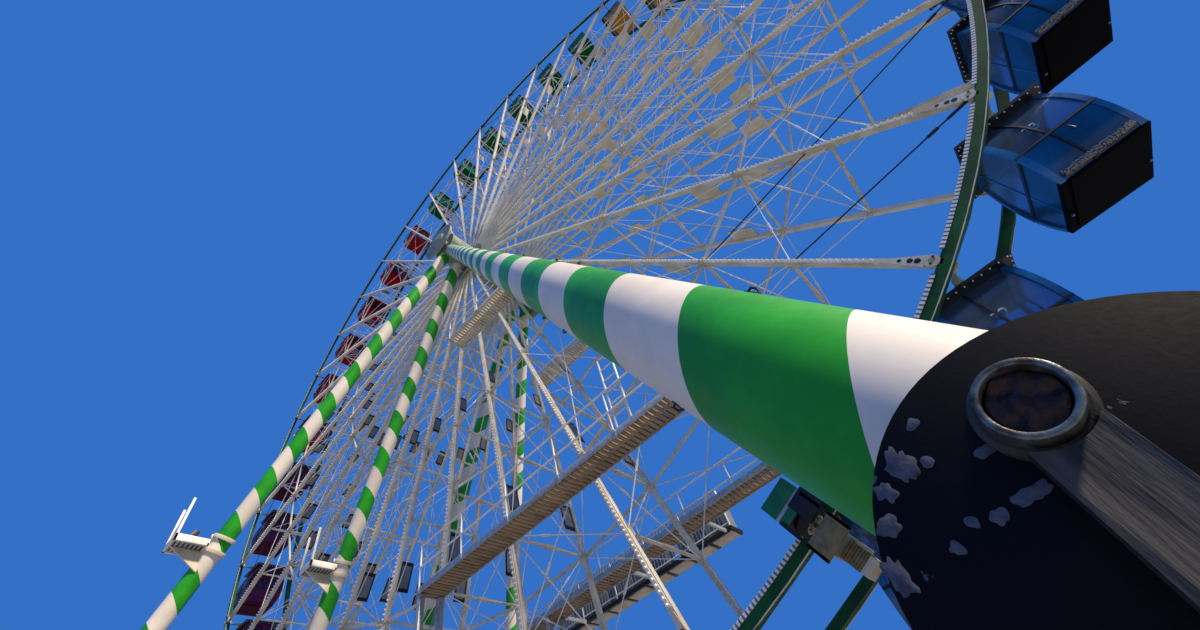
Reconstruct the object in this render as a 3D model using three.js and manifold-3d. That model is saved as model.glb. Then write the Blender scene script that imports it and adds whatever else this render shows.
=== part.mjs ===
// A 1:2 scale model of a transportable giant wheel: an open spoked wheel with 36 gondolas that hang level,
// carried by eight banded legs on two ground sleepers. X runs along the wheel's plane, Y along its axle,
// with the front at -Y, and Z is up. The origin is on the ground under the hub. Each platform's height is
// given as its drop below the hub.
import * as THREE from 'three';
import { mergeVertices } from 'three/addons/utils/BufferGeometryUtils.js';
import Module from 'manifold-3d';

const wasm = await Module();
wasm.setup();

// Every driving size is the full-size wheel's, in metres, and real() turns it into the model's millimetres.
const MODEL_SCALE = 1 / 2;
const real = (metres) => metres * 1000 * MODEL_SCALE;
const SEAT_GAP = 0.3; // between pieces that touch, in model millimetres
const BEARING_GAP = 0.6; // between the fixed axle and the drum that turns on it, in model millimetres
const OVERLAP = 1; // how far joined solids run into each other and cutters run past, in model millimetres
const MERGE_TOLERANCE = 1e-4; // closer corners than this are one corner, in model millimetres

// Wheel
const HUB_HEIGHT = real(24.64);
const RIM_RADIUS = real(22);
const RIM_DEPTH = real(0.2);
const RIM_WIDTH = real(0.16);
const RIM_SIDES = 72;
const GONDOLA_COUNT = 36;
const WHEEL_PHASE = -3.74; // degrees from +X to the first spoke
const STEP = 360 / GONDOLA_COUNT;
const SIDE_Y = real(1.353); // from the wheel's middle plane to each rim
const SPOKE_SIZE = real(0.13);
const STRUT_SIZE = real(0.07);
const STRUT_RINGS = [0.5, 0.757].map((share) => share * RIM_RADIUS);

// Hub and axle
const HUB_DRUM_RADIUS = real(0.55);
const HUB_FLANGE_RADIUS = real(0.95);
const HUB_FLANGE_THICK = real(0.12);
const HUB_RING_INNER = real(0.62);
const SPOKE_ROOT_RADIUS = real(0.68);
const AXLE_RADIUS = real(0.25);
const AXLE_SIDES = 48;
const HEAD_RADIUS = real(0.75);
const HEAD_INNER_Y = real(1.62);
const HEAD_OUTER_Y = real(2.92);
const HEAD_NOTCH_MARGIN = real(0.2); // how far a leg's notch runs past the head block
const DISC_RADIUS = real(1.05);
const DISC_THICK = real(0.12);
const DISC_Y = real(3.22); // from the wheel's middle plane to the disc's inner face
const ROUND_SIDES = 24;

// Legs and feet
const LEG_RADIUS = real(0.27);
const LEG_SIDES = 12;
const INNER_LEG_Y = real(1.95);
const OUTER_LEG_TOP_Y = real(2.55);
const FOOT_PIN_X = real(10.87);
const FOOT_PIN_HEIGHT = real(1.79);
const OUTER_PIN_Y = real(7.98);
const LEG_TAIL = real(0.18); // length of the leg below its pin
const PIN_RADIUS = real(0.058);
const PIN_PROUD = real(0.055); // how far the pin stands out of its cheeks
const PIN_SIDES = 8;
const CHEEK_RADIUS = real(0.31);
const CHEEK_THICK = real(0.06);
const CHEEK_INNER = real(0.335); // from the leg's middle to the cheek's inner face
const CHEEK_NOSE_DROP = real(0.175); // from the pin down to the centre of the cheek's round nose
const PACKING_HALF_X = real(0.3);
const PACKING_TOP = real(0.9);
const LINK_WIDTH = real(0.105); // the eye-bar that ties an outer foot's pin down
const LINK_THICK = real(0.045);
const LINK_RING_RADIUS = real(0.085);
const SLEEPER_HEIGHT = real(0.34);
const SLEEPER_END_Y = real(9.4);

// Gondola, measured from its pivot
const FLOOR_DROP = real(2.2);
const FLOOR_HALF_X = real(0.7);
const FLOOR_HALF_Y = real(0.66);
const BELLY_HALF_Y = real(0.84);
const BELLY_DROP = real(1.2);
const EAVES_HALF_Y = real(0.6);
const ROOF_TOP_DROP = real(0.08);
const ROOF_THICK = real(0.07);
const ROOF_HALF_X = real(0.84);
const ROOF_HALF_Y = real(0.8);
const SHAFT_RADIUS = real(0.045);
const HANGER_THICK = real(0.06);
const HANGER_HALF_X = real(0.12);
const HANGER_TOP = real(0.06);

// Gangways and rest platforms, which end at the right inner legs
const DECK_THICK = real(0.14);
const DECK_INNER_Y = real(1.78);
const DECK_OUTER_Y = real(2.5);
const DECK_PAST_LEG = real(0.06); // how far a deck runs past the middle of the leg that it ends at
const GANGWAY_DROP = real(17.16); // from the hub down to the deck's underside
const GANGWAY_LEFT_X = real(-0.5);
const REST_DROP = real(7.85);
const REST_LEFT_X = real(0.2);
const RAIL_HEIGHT = real(1.15);
const RAIL_SIZE = real(0.06);
const RAIL_POST_PITCH = real(1.75);
const END_POST_SIZE = real(0.14); // the posts under the gangway's free end
const EDGE_INSET = real(0.02); // how far posts and beams stand in from a deck's own faces

// Gallery behind the rear gangway, with its cabinets
const GALLERY_LEFT_X = real(-2);
const GALLERY_RIGHT_X = real(5.5);
const GALLERY_INNER_Y = real(3.5);
const GALLERY_OUTER_Y = real(4.15);
const GALLERY_BEAMS_X = [-0.4, 2.5, 5.3].map(real);
const CABINET_SPANS_X = [[-1.9, 0.5], [0.8, 3.1], [3.5, 5.4]].map((span) => span.map(real));
const CABINET_DEPTH = real(0.4);
const CABINET_HEIGHT = real(1.15);

// Floodlight trays on the left front legs
const TRAY_DROP = real(13.75);
const TRAY_WIDTH_X = real(0.8);
const TRAY_REACH_Y = real(0.9); // from the leg's face to the tray's front edge
const TRAY_THICK = real(0.08);
const TRAY_KERB_HEIGHT = real(0.2);
const TRAY_KERB_THICK = real(0.05);
const TRAY_POST_HEIGHT = real(1.35);
const TRAY_POST_SIZE = real(0.07);
const TRAY_BRACKET_DROP = real(0.75);
const TRAY_BRACKET_THICK = real(0.06);
const COLLAR_RADIUS = real(0.335);
const COLLAR_LENGTH = real(0.5);

// Drive beside the right front inner leg: radial places from the hub, and places across and along the rim
const DRIVE_ANGLE = THREE.MathUtils.degToRad(-66.3);
const TYRE_RADIUS = real(0.25);
const TYRE_WIDTH = real(0.15);
const TYRE_SIDES = 24;
const TYRE_RIM_GAP = 1; // between the tyre and the rim's front face, in model millimetres
const DRIVE_SHAFT_RADIUS = real(0.035);
const DRIVE_SHAFT_GAP = 0.5; // round the shaft in the tyre, in model millimetres
const HOUSING_REACH = real(0.5); // from the tyre's inner side towards the hub
const HOUSING_HALF_WIDTH = real(0.29);
const HOUSING_GAP = real(0.03); // between the rim's front face and the housing
const DRIVE_BACK_THICK = real(0.05);
const GEARBOX_START = real(22.3);
const GEARBOX_END = real(22.62);
const GEARBOX_HALF_WIDTH = real(0.16);
const MOTOR_END = real(23.02);
const MOTOR_RADIUS = real(0.14);
const MOTOR_SIDES = 12;
const ARM_START = real(21.75);
const ARM_END = real(22.15);
const ARM_THICK = real(0.1);
const ARM_REACH = real(0.79); // along the rim, to the leg that the arm clasps

const COLOURS = {
  green: 0x2f9a3a,
  darkGreen: 0x1f5a32,
  cream: 0xd9d2bc,
  white: 0xeee8da,
  black: 0x141820,
  steel: 0x8f979b,
  deck: 0x8b7a66,
  roof: 0x15161a,
  yellow: 0xd9a514,
  red: 0xb01018,
  purple: 0x5b1240,
  orange: 0xd8611a,
  blue: 0x0a4a80,
};
const GONDOLA_GROUPS = ['green', 'red', 'purple', 'orange', 'blue', 'yellow'];

/** A painted-metal material in one of the part's colours. */
function paint(name, roughness = 0.45, metalness = 0.2) {
  return new THREE.MeshStandardMaterial({ color: COLOURS[name], roughness, metalness });
}

/** Turns a closed three.js geometry, placed by a matrix, into a solid that can be joined and cut. */
function solid(geometry, matrix = new THREE.Matrix4()) {
  const plain = geometry.clone().applyMatrix4(matrix);
  plain.deleteAttribute('normal');
  plain.deleteAttribute('uv');
  const merged = mergeVertices(plain, MERGE_TOLERANCE);
  return new wasm.Manifold(new wasm.Mesh({
    numProp: 3,
    vertProperties: merged.attributes.position.array,
    triVerts: new Uint32Array(merged.index.array),
  }));
}

/** Turns a joined or cut solid back into a geometry. */
function geometryOf(shape) {
  const mesh = shape.getMesh();
  const geometry = new THREE.BufferGeometry();
  geometry.setAttribute('position', new THREE.BufferAttribute(new Float32Array(mesh.vertProperties), 3));
  geometry.setIndex(new THREE.BufferAttribute(new Uint32Array(mesh.triVerts), 1));
  geometry.computeVertexNormals();
  return geometry;
}

/** Joins several solids into one. */
function join(shapes) {
  return shapes.reduce((whole, shape) => whole.add(shape));
}

/** Cuts each tool out of a solid. */
function cut(shape, tools) {
  return tools.reduce((rest, tool) => rest.subtract(tool), shape);
}

/** A box between two corners. */
function block(low, high) {
  const size = new THREE.Vector3().subVectors(high, low);
  const centre = new THREE.Vector3().addVectors(low, high).multiplyScalar(0.5);
  return solid(
    new THREE.BoxGeometry(size.x, size.y, size.z),
    new THREE.Matrix4().makeTranslation(centre.x, centre.y, centre.z),
  );
}

/** A box from its limits along each axis. */
function boxAt(x0, x1, y0, y1, z0, z1) {
  return block(new THREE.Vector3(x0, y0, z0), new THREE.Vector3(x1, y1, z1));
}

/**
 * A round or many-sided bar between two points. Turn twists its section about its own length, and the
 * matrix carries the finished bar into another frame.
 */
function bar(start, end, radius, sides, turn = 0, frame = new THREE.Matrix4()) {
  const along = new THREE.Vector3().subVectors(end, start);
  const length = along.length();
  const middle = new THREE.Vector3().addVectors(start, end).multiplyScalar(0.5);
  const lean = new THREE.Quaternion().setFromUnitVectors(new THREE.Vector3(0, 1, 0), along.normalize());
  const matrix = new THREE.Matrix4().compose(middle, lean, new THREE.Vector3(1, 1, 1));
  const section = new THREE.CylinderGeometry(radius, radius, length, sides).rotateY(turn);
  return solid(section, matrix.premultiply(frame));
}

/** A square bar in the wheel's plane, with two of its faces square to the axle. */
function planeBar(start, end, size) {
  const along = new THREE.Vector3().subVectors(end, start);
  const middle = new THREE.Vector3().addVectors(start, end).multiplyScalar(0.5);
  const angle = Math.atan2(along.z, along.x);
  const matrix = new THREE.Matrix4().makeRotationY(-angle).setPosition(middle);
  return solid(new THREE.BoxGeometry(along.length(), size, size), matrix);
}

/** A round bar along the axle's direction, from y0 to y1. */
function axleBar(radius, y0, y1, sides = ROUND_SIDES, x = 0, z = 0, turn = 0) {
  return bar(new THREE.Vector3(x, y0, z), new THREE.Vector3(x, y1, z), radius, sides, turn);
}

/** A ring about the axle's direction with a rectangular section, turned so that flats meet the spokes. */
function ring(innerRadius, outerRadius, y0, y1, sides) {
  const turn = -THREE.MathUtils.degToRad(WHEEL_PHASE + 180 / sides);
  const outside = axleBar(outerRadius, y0, y1, sides, 0, 0, turn);
  return outside.subtract(axleBar(innerRadius, y0 - OVERLAP, y1 + OVERLAP, sides, 0, 0, turn));
}

/** The angle of a spoke from +X, in radians. */
function spokeAngle(index) {
  return THREE.MathUtils.degToRad(WHEEL_PHASE + STEP * index);
}

/** The point on spoke index at this radius and this place along the axle, from the hub's centre. */
function spokePoint(index, radius, y) {
  const angle = spokeAngle(index);
  return new THREE.Vector3(radius * Math.cos(angle), y, radius * Math.sin(angle));
}

const part = new THREE.Group();
const wheel = new THREE.Group();
wheel.position.set(0, 0, HUB_HEIGHT);
part.add(wheel);

/** Adds a named piece to a group. */
function addMesh(parent, name, shape, material) {
  const mesh = new THREE.Mesh(shape instanceof THREE.BufferGeometry ? shape : geometryOf(shape), material);
  mesh.name = name;
  parent.add(mesh);
  return mesh;
}

/** One side of the wheel: a hub ring, the spokes and the rings of struts between them. */
function sideFrame(y) {
  const half = SPOKE_SIZE / 2;
  const pieces = [ring(HUB_RING_INNER, HUB_FLANGE_RADIUS, y - half, y + half, GONDOLA_COUNT)];
  const spokeEnd = (RIM_RADIUS - RIM_DEPTH / 2) * Math.cos(Math.PI / RIM_SIDES) - SEAT_GAP;
  for (let index = 0; index < GONDOLA_COUNT; index += 1) {
    const root = spokePoint(index, SPOKE_ROOT_RADIUS, y);
    pieces.push(planeBar(root, spokePoint(index, spokeEnd, y), SPOKE_SIZE));
    for (const radius of STRUT_RINGS) {
      pieces.push(planeBar(spokePoint(index, radius, y), spokePoint(index + 1, radius, y), STRUT_SIZE));
    }
  }
  return pieces;
}

/** One of the two rims that the gondolas' shafts end at. */
function rim(y) {
  const inner = RIM_RADIUS - RIM_DEPTH / 2;
  const outer = RIM_RADIUS + RIM_DEPTH / 2;
  return ring(inner, outer, y - RIM_WIDTH / 2, y + RIM_WIDTH / 2, RIM_SIDES);
}

/** The turning drum that carries both sides, with a flange against each and a bore for the axle. */
function hubDrum() {
  const inside = SIDE_Y - SPOKE_SIZE / 2 - SEAT_GAP;
  const outside = SIDE_Y + SPOKE_SIZE / 2;
  const drum = [axleBar(HUB_DRUM_RADIUS, -outside, outside)];
  for (const side of [-1, 1]) {
    const y = side * (inside - HUB_FLANGE_THICK / 2);
    drum.push(axleBar(HUB_FLANGE_RADIUS, y - HUB_FLANGE_THICK / 2, y + HUB_FLANGE_THICK / 2));
  }
  const reach = outside + OVERLAP;
  return join(drum).subtract(axleBar(AXLE_RADIUS + BEARING_GAP, -reach, reach, AXLE_SIDES));
}

/** The gondola: a cabin with bulging faces, a flat roof slab, and the shaft that it hangs on. */
function gondola() {
  const eaves = -ROOF_TOP_DROP - ROOF_THICK;
  const shaftEnd = SIDE_Y - RIM_WIDTH / 2 - SEAT_GAP;
  const bulge = 2 * BELLY_HALF_Y - (FLOOR_HALF_Y + EAVES_HALF_Y) / 2;
  const half = HANGER_THICK / 2;
  const outline = new THREE.Shape();
  outline.moveTo(-FLOOR_HALF_Y, -FLOOR_DROP);
  outline.lineTo(FLOOR_HALF_Y, -FLOOR_DROP);
  outline.quadraticCurveTo(bulge, -BELLY_DROP, EAVES_HALF_Y, eaves + OVERLAP);
  outline.lineTo(-EAVES_HALF_Y, eaves + OVERLAP);
  outline.quadraticCurveTo(-bulge, -BELLY_DROP, -FLOOR_HALF_Y, -FLOOR_DROP);
  const extrusion = { depth: 2 * FLOOR_HALF_X, bevelEnabled: false, curveSegments: 4 };
  const cabin = new THREE.ExtrudeGeometry(outline, extrusion);
  // The outline's first axis becomes Y, its second Z, and its depth X.
  const upright = new THREE.Matrix4().makeBasis(
    new THREE.Vector3(0, 1, 0),
    new THREE.Vector3(0, 0, 1),
    new THREE.Vector3(1, 0, 0),
  ).setPosition(-FLOOR_HALF_X, 0, 0);
  const pieces = [
    solid(cabin, upright),
    boxAt(-ROOF_HALF_X, ROOF_HALF_X, -ROOF_HALF_Y, ROOF_HALF_Y, eaves, -ROOF_TOP_DROP),
    axleBar(SHAFT_RADIUS, -shaftEnd, shaftEnd, 6),
  ];
  for (const side of [-1, 1]) {
    const y = side * (ROOF_HALF_Y - HANGER_THICK);
    const low = -ROOF_TOP_DROP - OVERLAP;
    pieces.push(boxAt(-HANGER_HALF_X, HANGER_HALF_X, y - half, y + half, low, HANGER_TOP));
  }
  return join(pieces);
}

/** A leg's centre line: its top at the axle's height, its foot pin, and its lower end just past that. */
function legLine(xSign, ySign, topY, pinY) {
  const top = new THREE.Vector3(0, ySign * topY, HUB_HEIGHT);
  const pin = new THREE.Vector3(xSign * FOOT_PIN_X, ySign * pinY, FOOT_PIN_HEIGHT);
  const direction = new THREE.Vector3().subVectors(pin, top).normalize();
  const tail = pin.clone().addScaledVector(direction, LEG_TAIL);
  return { top, pin, tail, direction };
}

/** A leg's tube, grown by a margin all round, in the frame of the group that a matrix places. */
function legTube(line, margin = 0, groupMatrix = new THREE.Matrix4()) {
  return bar(line.top, line.tail, LEG_RADIUS + margin, LEG_SIDES, 0, groupMatrix.clone().invert());
}

/** A tray for floodlights on the front of a leg, with its kerbs, posts, bracket plate and clamp collar. */
function trayPieces(line) {
  const floor = HUB_HEIGHT - TRAY_DROP;
  const centre = line.top.clone().lerp(line.pin, (line.top.z - floor) / (line.top.z - line.pin.z));
  const backY = centre.y;
  const faceY = backY - LEG_RADIUS;
  const frontY = faceY - TRAY_REACH_Y;
  const x0 = centre.x - TRAY_WIDTH_X / 2;
  const x1 = centre.x + TRAY_WIDTH_X / 2;
  const kerbTop = floor + TRAY_KERB_HEIGHT;
  const pieces = [
    boxAt(x0, x1, frontY, backY, floor, floor + TRAY_THICK),
    boxAt(x0, x1, frontY, frontY + TRAY_KERB_THICK, floor, kerbTop),
    boxAt(x0, x0 + TRAY_KERB_THICK, frontY, backY, floor, kerbTop),
    boxAt(x1 - TRAY_KERB_THICK, x1, frontY, backY, floor, kerbTop),
  ];
  for (const x of [x0, x1 - TRAY_POST_SIZE]) {
    const backOfPost = frontY + TRAY_POST_SIZE;
    pieces.push(boxAt(x, x + TRAY_POST_SIZE, frontY, backOfPost, floor, floor + TRAY_POST_HEIGHT));
  }
  const outline = new THREE.Shape();
  outline.moveTo(backY, floor + OVERLAP);
  outline.lineTo(frontY + TRAY_POST_SIZE, floor + OVERLAP);
  outline.lineTo(backY, floor - TRAY_BRACKET_DROP);
  const plate = new THREE.ExtrudeGeometry(outline, { depth: TRAY_BRACKET_THICK, bevelEnabled: false });
  // The outline's first axis becomes Y, its second Z, and its depth X.
  const upright = new THREE.Matrix4().makeBasis(
    new THREE.Vector3(0, 1, 0),
    new THREE.Vector3(0, 0, 1),
    new THREE.Vector3(1, 0, 0),
  ).setPosition(centre.x - TRAY_BRACKET_THICK / 2, 0, 0);
  pieces.push(solid(plate, upright));
  const collarEnd = centre.clone().addScaledVector(line.direction, -COLLAR_LENGTH);
  pieces.push(bar(centre, collarEnd, COLLAR_RADIUS, LEG_SIDES));
  return pieces;
}

/** A leg from the head drum down past its foot pin, bored for the pin, with whatever it carries. */
function leg(line, carried = []) {
  const { top, pin } = line;
  const ySign = Math.sign(top.y);
  const head = bar(
    new THREE.Vector3(0, ySign * (HEAD_INNER_Y - HEAD_NOTCH_MARGIN), HUB_HEIGHT),
    new THREE.Vector3(0, ySign * (HEAD_OUTER_Y + HEAD_NOTCH_MARGIN), HUB_HEIGHT),
    HEAD_RADIUS + SEAT_GAP,
    ROUND_SIDES,
  );
  const reach = CHEEK_INNER + CHEEK_THICK;
  const bore = axleBar(PIN_RADIUS + SEAT_GAP, pin.y - reach, pin.y + reach, PIN_SIDES, pin.x, pin.z);
  return cut(join([legTube(line), ...carried]), [head, bore]);
}

/** Two round-nosed cheek plates on the sleeper, with the pin through them and packing between their feet. */
function footPieces(x, y) {
  const pieces = [];
  const outline = new THREE.Shape();
  const noseZ = FOOT_PIN_HEIGHT - CHEEK_NOSE_DROP;
  outline.moveTo(-CHEEK_RADIUS, SLEEPER_HEIGHT / 2);
  outline.lineTo(CHEEK_RADIUS, SLEEPER_HEIGHT / 2);
  outline.lineTo(CHEEK_RADIUS, noseZ);
  outline.absarc(0, noseZ, CHEEK_RADIUS, 0, Math.PI, false);
  outline.lineTo(-CHEEK_RADIUS, SLEEPER_HEIGHT / 2);
  const extrusion = { depth: CHEEK_THICK, bevelEnabled: false, curveSegments: 5 };
  const plate = new THREE.ExtrudeGeometry(outline, extrusion);
  for (const side of [-1, 1]) {
    const near = side < 0 ? y - CHEEK_INNER - CHEEK_THICK : y + CHEEK_INNER;
    const matrix = new THREE.Matrix4().makeBasis(
      new THREE.Vector3(-1, 0, 0),
      new THREE.Vector3(0, 0, 1),
      new THREE.Vector3(0, 1, 0),
    ).setPosition(x, near, 0);
    pieces.push(solid(plate, matrix));
  }
  const reach = CHEEK_INNER + CHEEK_THICK + PIN_PROUD;
  const packing = CHEEK_INNER + OVERLAP;
  pieces.push(axleBar(PIN_RADIUS, y - reach, y + reach, PIN_SIDES, x, FOOT_PIN_HEIGHT));
  pieces.push(boxAt(
    x - PACKING_HALF_X, x + PACKING_HALF_X,
    y - packing, y + packing,
    SLEEPER_HEIGHT / 2, PACKING_TOP,
  ));
  return pieces;
}

/** The eye-bar that hangs from an outer foot's pin, outside its cheek, down to the sleeper. */
function linkPieces(x, y) {
  const outward = Math.sign(y);
  const near = y + outward * (CHEEK_INNER + CHEEK_THICK);
  const far = near + outward * LINK_THICK;
  const y0 = Math.min(near, far);
  const y1 = Math.max(near, far);
  return [
    axleBar(LINK_RING_RADIUS, y0, y1, LEG_SIDES, x, FOOT_PIN_HEIGHT),
    boxAt(x - LINK_WIDTH / 2, x + LINK_WIDTH / 2, y0, y1, SLEEPER_HEIGHT / 2, FOOT_PIN_HEIGHT),
  ];
}

/** A ground sleeper with the four feet of one side, from front to rear. */
function sleeper(xSign) {
  const x = xSign * FOOT_PIN_X;
  const half = CHEEK_RADIUS;
  const pieces = [boxAt(x - half, x + half, -SLEEPER_END_Y, SLEEPER_END_Y, 0, SLEEPER_HEIGHT)];
  for (const y of [-OUTER_PIN_Y, -INNER_LEG_Y, INNER_LEG_Y, OUTER_PIN_Y]) {
    pieces.push(...footPieces(x, y));
  }
  pieces.push(...linkPieces(x, -OUTER_PIN_Y), ...linkPieces(x, OUTER_PIN_Y));
  return join(pieces);
}

/** The block round the axle's end that the four legs of one face lean against. */
function head(ySign) {
  const inner = ySign * HEAD_INNER_Y;
  const outer = ySign * HEAD_OUTER_Y;
  const drum = axleBar(HEAD_RADIUS, Math.min(inner, outer), Math.max(inner, outer));
  const reach = HEAD_OUTER_Y + OVERLAP;
  return drum.subtract(axleBar(AXLE_RADIUS + SEAT_GAP, -reach, reach, AXLE_SIDES));
}

/** The fixed axle, with a round face disc at each end. */
function axle() {
  const end = DISC_Y + DISC_THICK / 2;
  const pieces = [axleBar(AXLE_RADIUS, -end, end, AXLE_SIDES)];
  for (const side of [-1, 1]) {
    const low = side < 0 ? -DISC_Y - DISC_THICK : DISC_Y;
    pieces.push(axleBar(DISC_RADIUS, low, low + DISC_THICK));
  }
  return join(pieces);
}

/** A deck that ends at a right inner leg, with its handrail along the outer side. */
function deckPieces(ySign, drop, leftX, rightX) {
  const low = HUB_HEIGHT - drop;
  const top = low + DECK_THICK;
  const y0 = ySign < 0 ? -DECK_OUTER_Y : DECK_INNER_Y;
  const y1 = y0 + DECK_OUTER_Y - DECK_INNER_Y;
  const railY = ySign * (DECK_OUTER_Y - RAIL_SIZE / 2);
  const half = RAIL_SIZE / 2;
  const pieces = [boxAt(leftX, rightX, y0, y1, low, top)];
  const spans = Math.round((rightX - leftX) / RAIL_POST_PITCH);
  for (let index = 0; index <= spans; index += 1) {
    const x = THREE.MathUtils.lerp(leftX + RAIL_SIZE, rightX - RAIL_SIZE, index / spans);
    pieces.push(boxAt(x - half, x + half, railY - half, railY + half, top - OVERLAP, top + RAIL_HEIGHT));
  }
  for (const height of [RAIL_HEIGHT / 2, RAIL_HEIGHT]) {
    pieces.push(boxAt(leftX, rightX, railY - half, railY + half, top + height - RAIL_SIZE, top + height));
  }
  return pieces;
}

/** Where a deck at this drop below the hub ends, just past the middle of its right inner leg. */
function deckEndX(drop) {
  return (FOOT_PIN_X * drop) / (HUB_HEIGHT - FOOT_PIN_HEIGHT) + DECK_PAST_LEG;
}

/** The two posts under a deck's free end. */
function endPosts(leftX, y0, y1) {
  const x = leftX + EDGE_INSET;
  const top = HUB_HEIGHT - GANGWAY_DROP + OVERLAP;
  return [y0 + EDGE_INSET, y1 - EDGE_INSET - END_POST_SIZE].map((y) => (
    boxAt(x, x + END_POST_SIZE, y, y + END_POST_SIZE, 0, top)
  ));
}

/** A second, parallel deck behind the rear gangway: beams, end posts, a balustrade and its cabinets. */
function galleryPieces() {
  const low = HUB_HEIGHT - GANGWAY_DROP;
  const top = low + DECK_THICK;
  const railTop = top + RAIL_HEIGHT;
  const half = RAIL_SIZE / 2;
  const railY = GALLERY_INNER_Y + half;
  const pieces = [
    boxAt(GALLERY_LEFT_X, GALLERY_RIGHT_X, GALLERY_INNER_Y, GALLERY_OUTER_Y, low, top),
    boxAt(GALLERY_LEFT_X, GALLERY_RIGHT_X, railY - half, railY + half, railTop - RAIL_SIZE, railTop),
    ...endPosts(GALLERY_LEFT_X, GALLERY_INNER_Y, GALLERY_OUTER_Y),
  ];
  for (const x of GALLERY_BEAMS_X) {
    const near = DECK_OUTER_Y - OVERLAP;
    const far = GALLERY_INNER_Y + OVERLAP;
    pieces.push(boxAt(x - half, x + half, near, far, low + EDGE_INSET, top - EDGE_INSET));
  }
  const spans = Math.round((GALLERY_RIGHT_X - GALLERY_LEFT_X) / RAIL_POST_PITCH);
  const firstX = GALLERY_LEFT_X + RAIL_SIZE;
  const lastX = GALLERY_RIGHT_X - RAIL_SIZE;
  for (let index = 0; index <= spans; index += 1) {
    const x = THREE.MathUtils.lerp(firstX, lastX, index / spans);
    pieces.push(boxAt(x - half, x + half, railY - half, railY + half, top - OVERLAP, railTop));
  }
  const cabinetY = GALLERY_OUTER_Y - CABINET_DEPTH;
  for (const [x0, x1] of CABINET_SPANS_X) {
    pieces.push(boxAt(x0, x1, cabinetY, GALLERY_OUTER_Y, top - OVERLAP, top + CABINET_HEIGHT));
  }
  return pieces;
}

/** A service gangway beside the wheel, on posts at its free end, with whatever else it carries. */
function gangway(ySign, carried = []) {
  const y0 = ySign < 0 ? -DECK_OUTER_Y : DECK_INNER_Y;
  const pieces = [
    ...deckPieces(ySign, GANGWAY_DROP, GANGWAY_LEFT_X, deckEndX(GANGWAY_DROP)),
    ...endPosts(GANGWAY_LEFT_X, y0, y0 + DECK_OUTER_Y - DECK_INNER_Y),
    ...carried,
  ];
  return join(pieces).subtract(legTube(innerLeg(1, ySign), SEAT_GAP));
}

/** A short rest platform higher up beside a right inner leg. */
function restPlatform(ySign) {
  const pieces = deckPieces(ySign, REST_DROP, REST_LEFT_X, deckEndX(REST_DROP));
  return join(pieces).subtract(legTube(innerLeg(1, ySign), SEAT_GAP));
}

/** The centre line of an inner leg. */
function innerLeg(xSign, ySign) {
  return legLine(xSign, ySign, INNER_LEG_Y, INNER_LEG_Y);
}

/** The centre line of an outer leg. */
function outerLeg(xSign, ySign) {
  return legLine(xSign, ySign, OUTER_LEG_TOP_Y, OUTER_PIN_Y);
}

// In the drive's group, X runs outward from the hub, Z along the rim towards the leg, and Y is the axle's.
const RIM_FRONT_Y = -SIDE_Y - RIM_WIDTH / 2;
const TYRE_Y = RIM_FRONT_Y - TYRE_RIM_GAP - TYRE_RADIUS;
const DRIVE_BACK_Y = TYRE_Y - TYRE_RADIUS - DRIVE_BACK_THICK;
const DRIVE_FACE_Y = DRIVE_BACK_Y - DRIVE_BACK_THICK;

/** A round bar along the drive's own axis, from one radial place to another. */
function driveBar(radius, start, end, sides) {
  return bar(new THREE.Vector3(start, TYRE_Y, 0), new THREE.Vector3(end, TYRE_Y, 0), radius, sides);
}

/** The tyre that turns the rim, bored for its shaft. */
function driveTyre() {
  const start = RIM_RADIUS - TYRE_WIDTH / 2;
  const end = RIM_RADIUS + TYRE_WIDTH / 2;
  const bore = driveBar(DRIVE_SHAFT_RADIUS + DRIVE_SHAFT_GAP, start - OVERLAP, end + OVERLAP, TYRE_SIDES);
  return driveBar(TYRE_RADIUS, start, end, TYRE_SIDES).subtract(bore);
}

/** The drive's housing, back plate, gearbox, motor and shaft, with the arm that clasps the leg. */
function driveUnit(groupMatrix) {
  const tyreStart = RIM_RADIUS - TYRE_WIDTH / 2 - DRIVE_BACK_THICK / 2;
  const housingStart = tyreStart - HOUSING_REACH;
  const frontY = RIM_FRONT_Y - HOUSING_GAP;
  const half = HOUSING_HALF_WIDTH;
  const pieces = [
    boxAt(housingStart, tyreStart, DRIVE_BACK_Y, frontY, -half, half),
    boxAt(housingStart, GEARBOX_END, DRIVE_FACE_Y, DRIVE_BACK_Y + OVERLAP, -half, half),
    boxAt(
      GEARBOX_START, GEARBOX_END,
      DRIVE_BACK_Y, TYRE_Y + GEARBOX_HALF_WIDTH,
      -GEARBOX_HALF_WIDTH, GEARBOX_HALF_WIDTH,
    ),
    driveBar(DRIVE_SHAFT_RADIUS, tyreStart - OVERLAP, GEARBOX_START + OVERLAP, TYRE_SIDES),
    driveBar(MOTOR_RADIUS, GEARBOX_END - OVERLAP, MOTOR_END, MOTOR_SIDES),
    boxAt(ARM_START, ARM_END, DRIVE_FACE_Y, DRIVE_FACE_Y + ARM_THICK, 0, ARM_REACH),
  ];
  return join(pieces).subtract(legTube(innerLeg(1, -1), SEAT_GAP, groupMatrix));
}

addMesh(wheel, 'hub_drum', hubDrum(), paint('steel'));
addMesh(wheel, 'front_spokes', join(sideFrame(-SIDE_Y)), paint('cream'));
addMesh(wheel, 'rear_spokes', join(sideFrame(SIDE_Y)), paint('cream'));
addMesh(wheel, 'front_rim', rim(-SIDE_Y), paint('darkGreen'));
addMesh(wheel, 'rear_rim', rim(SIDE_Y), paint('darkGreen'));

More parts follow.
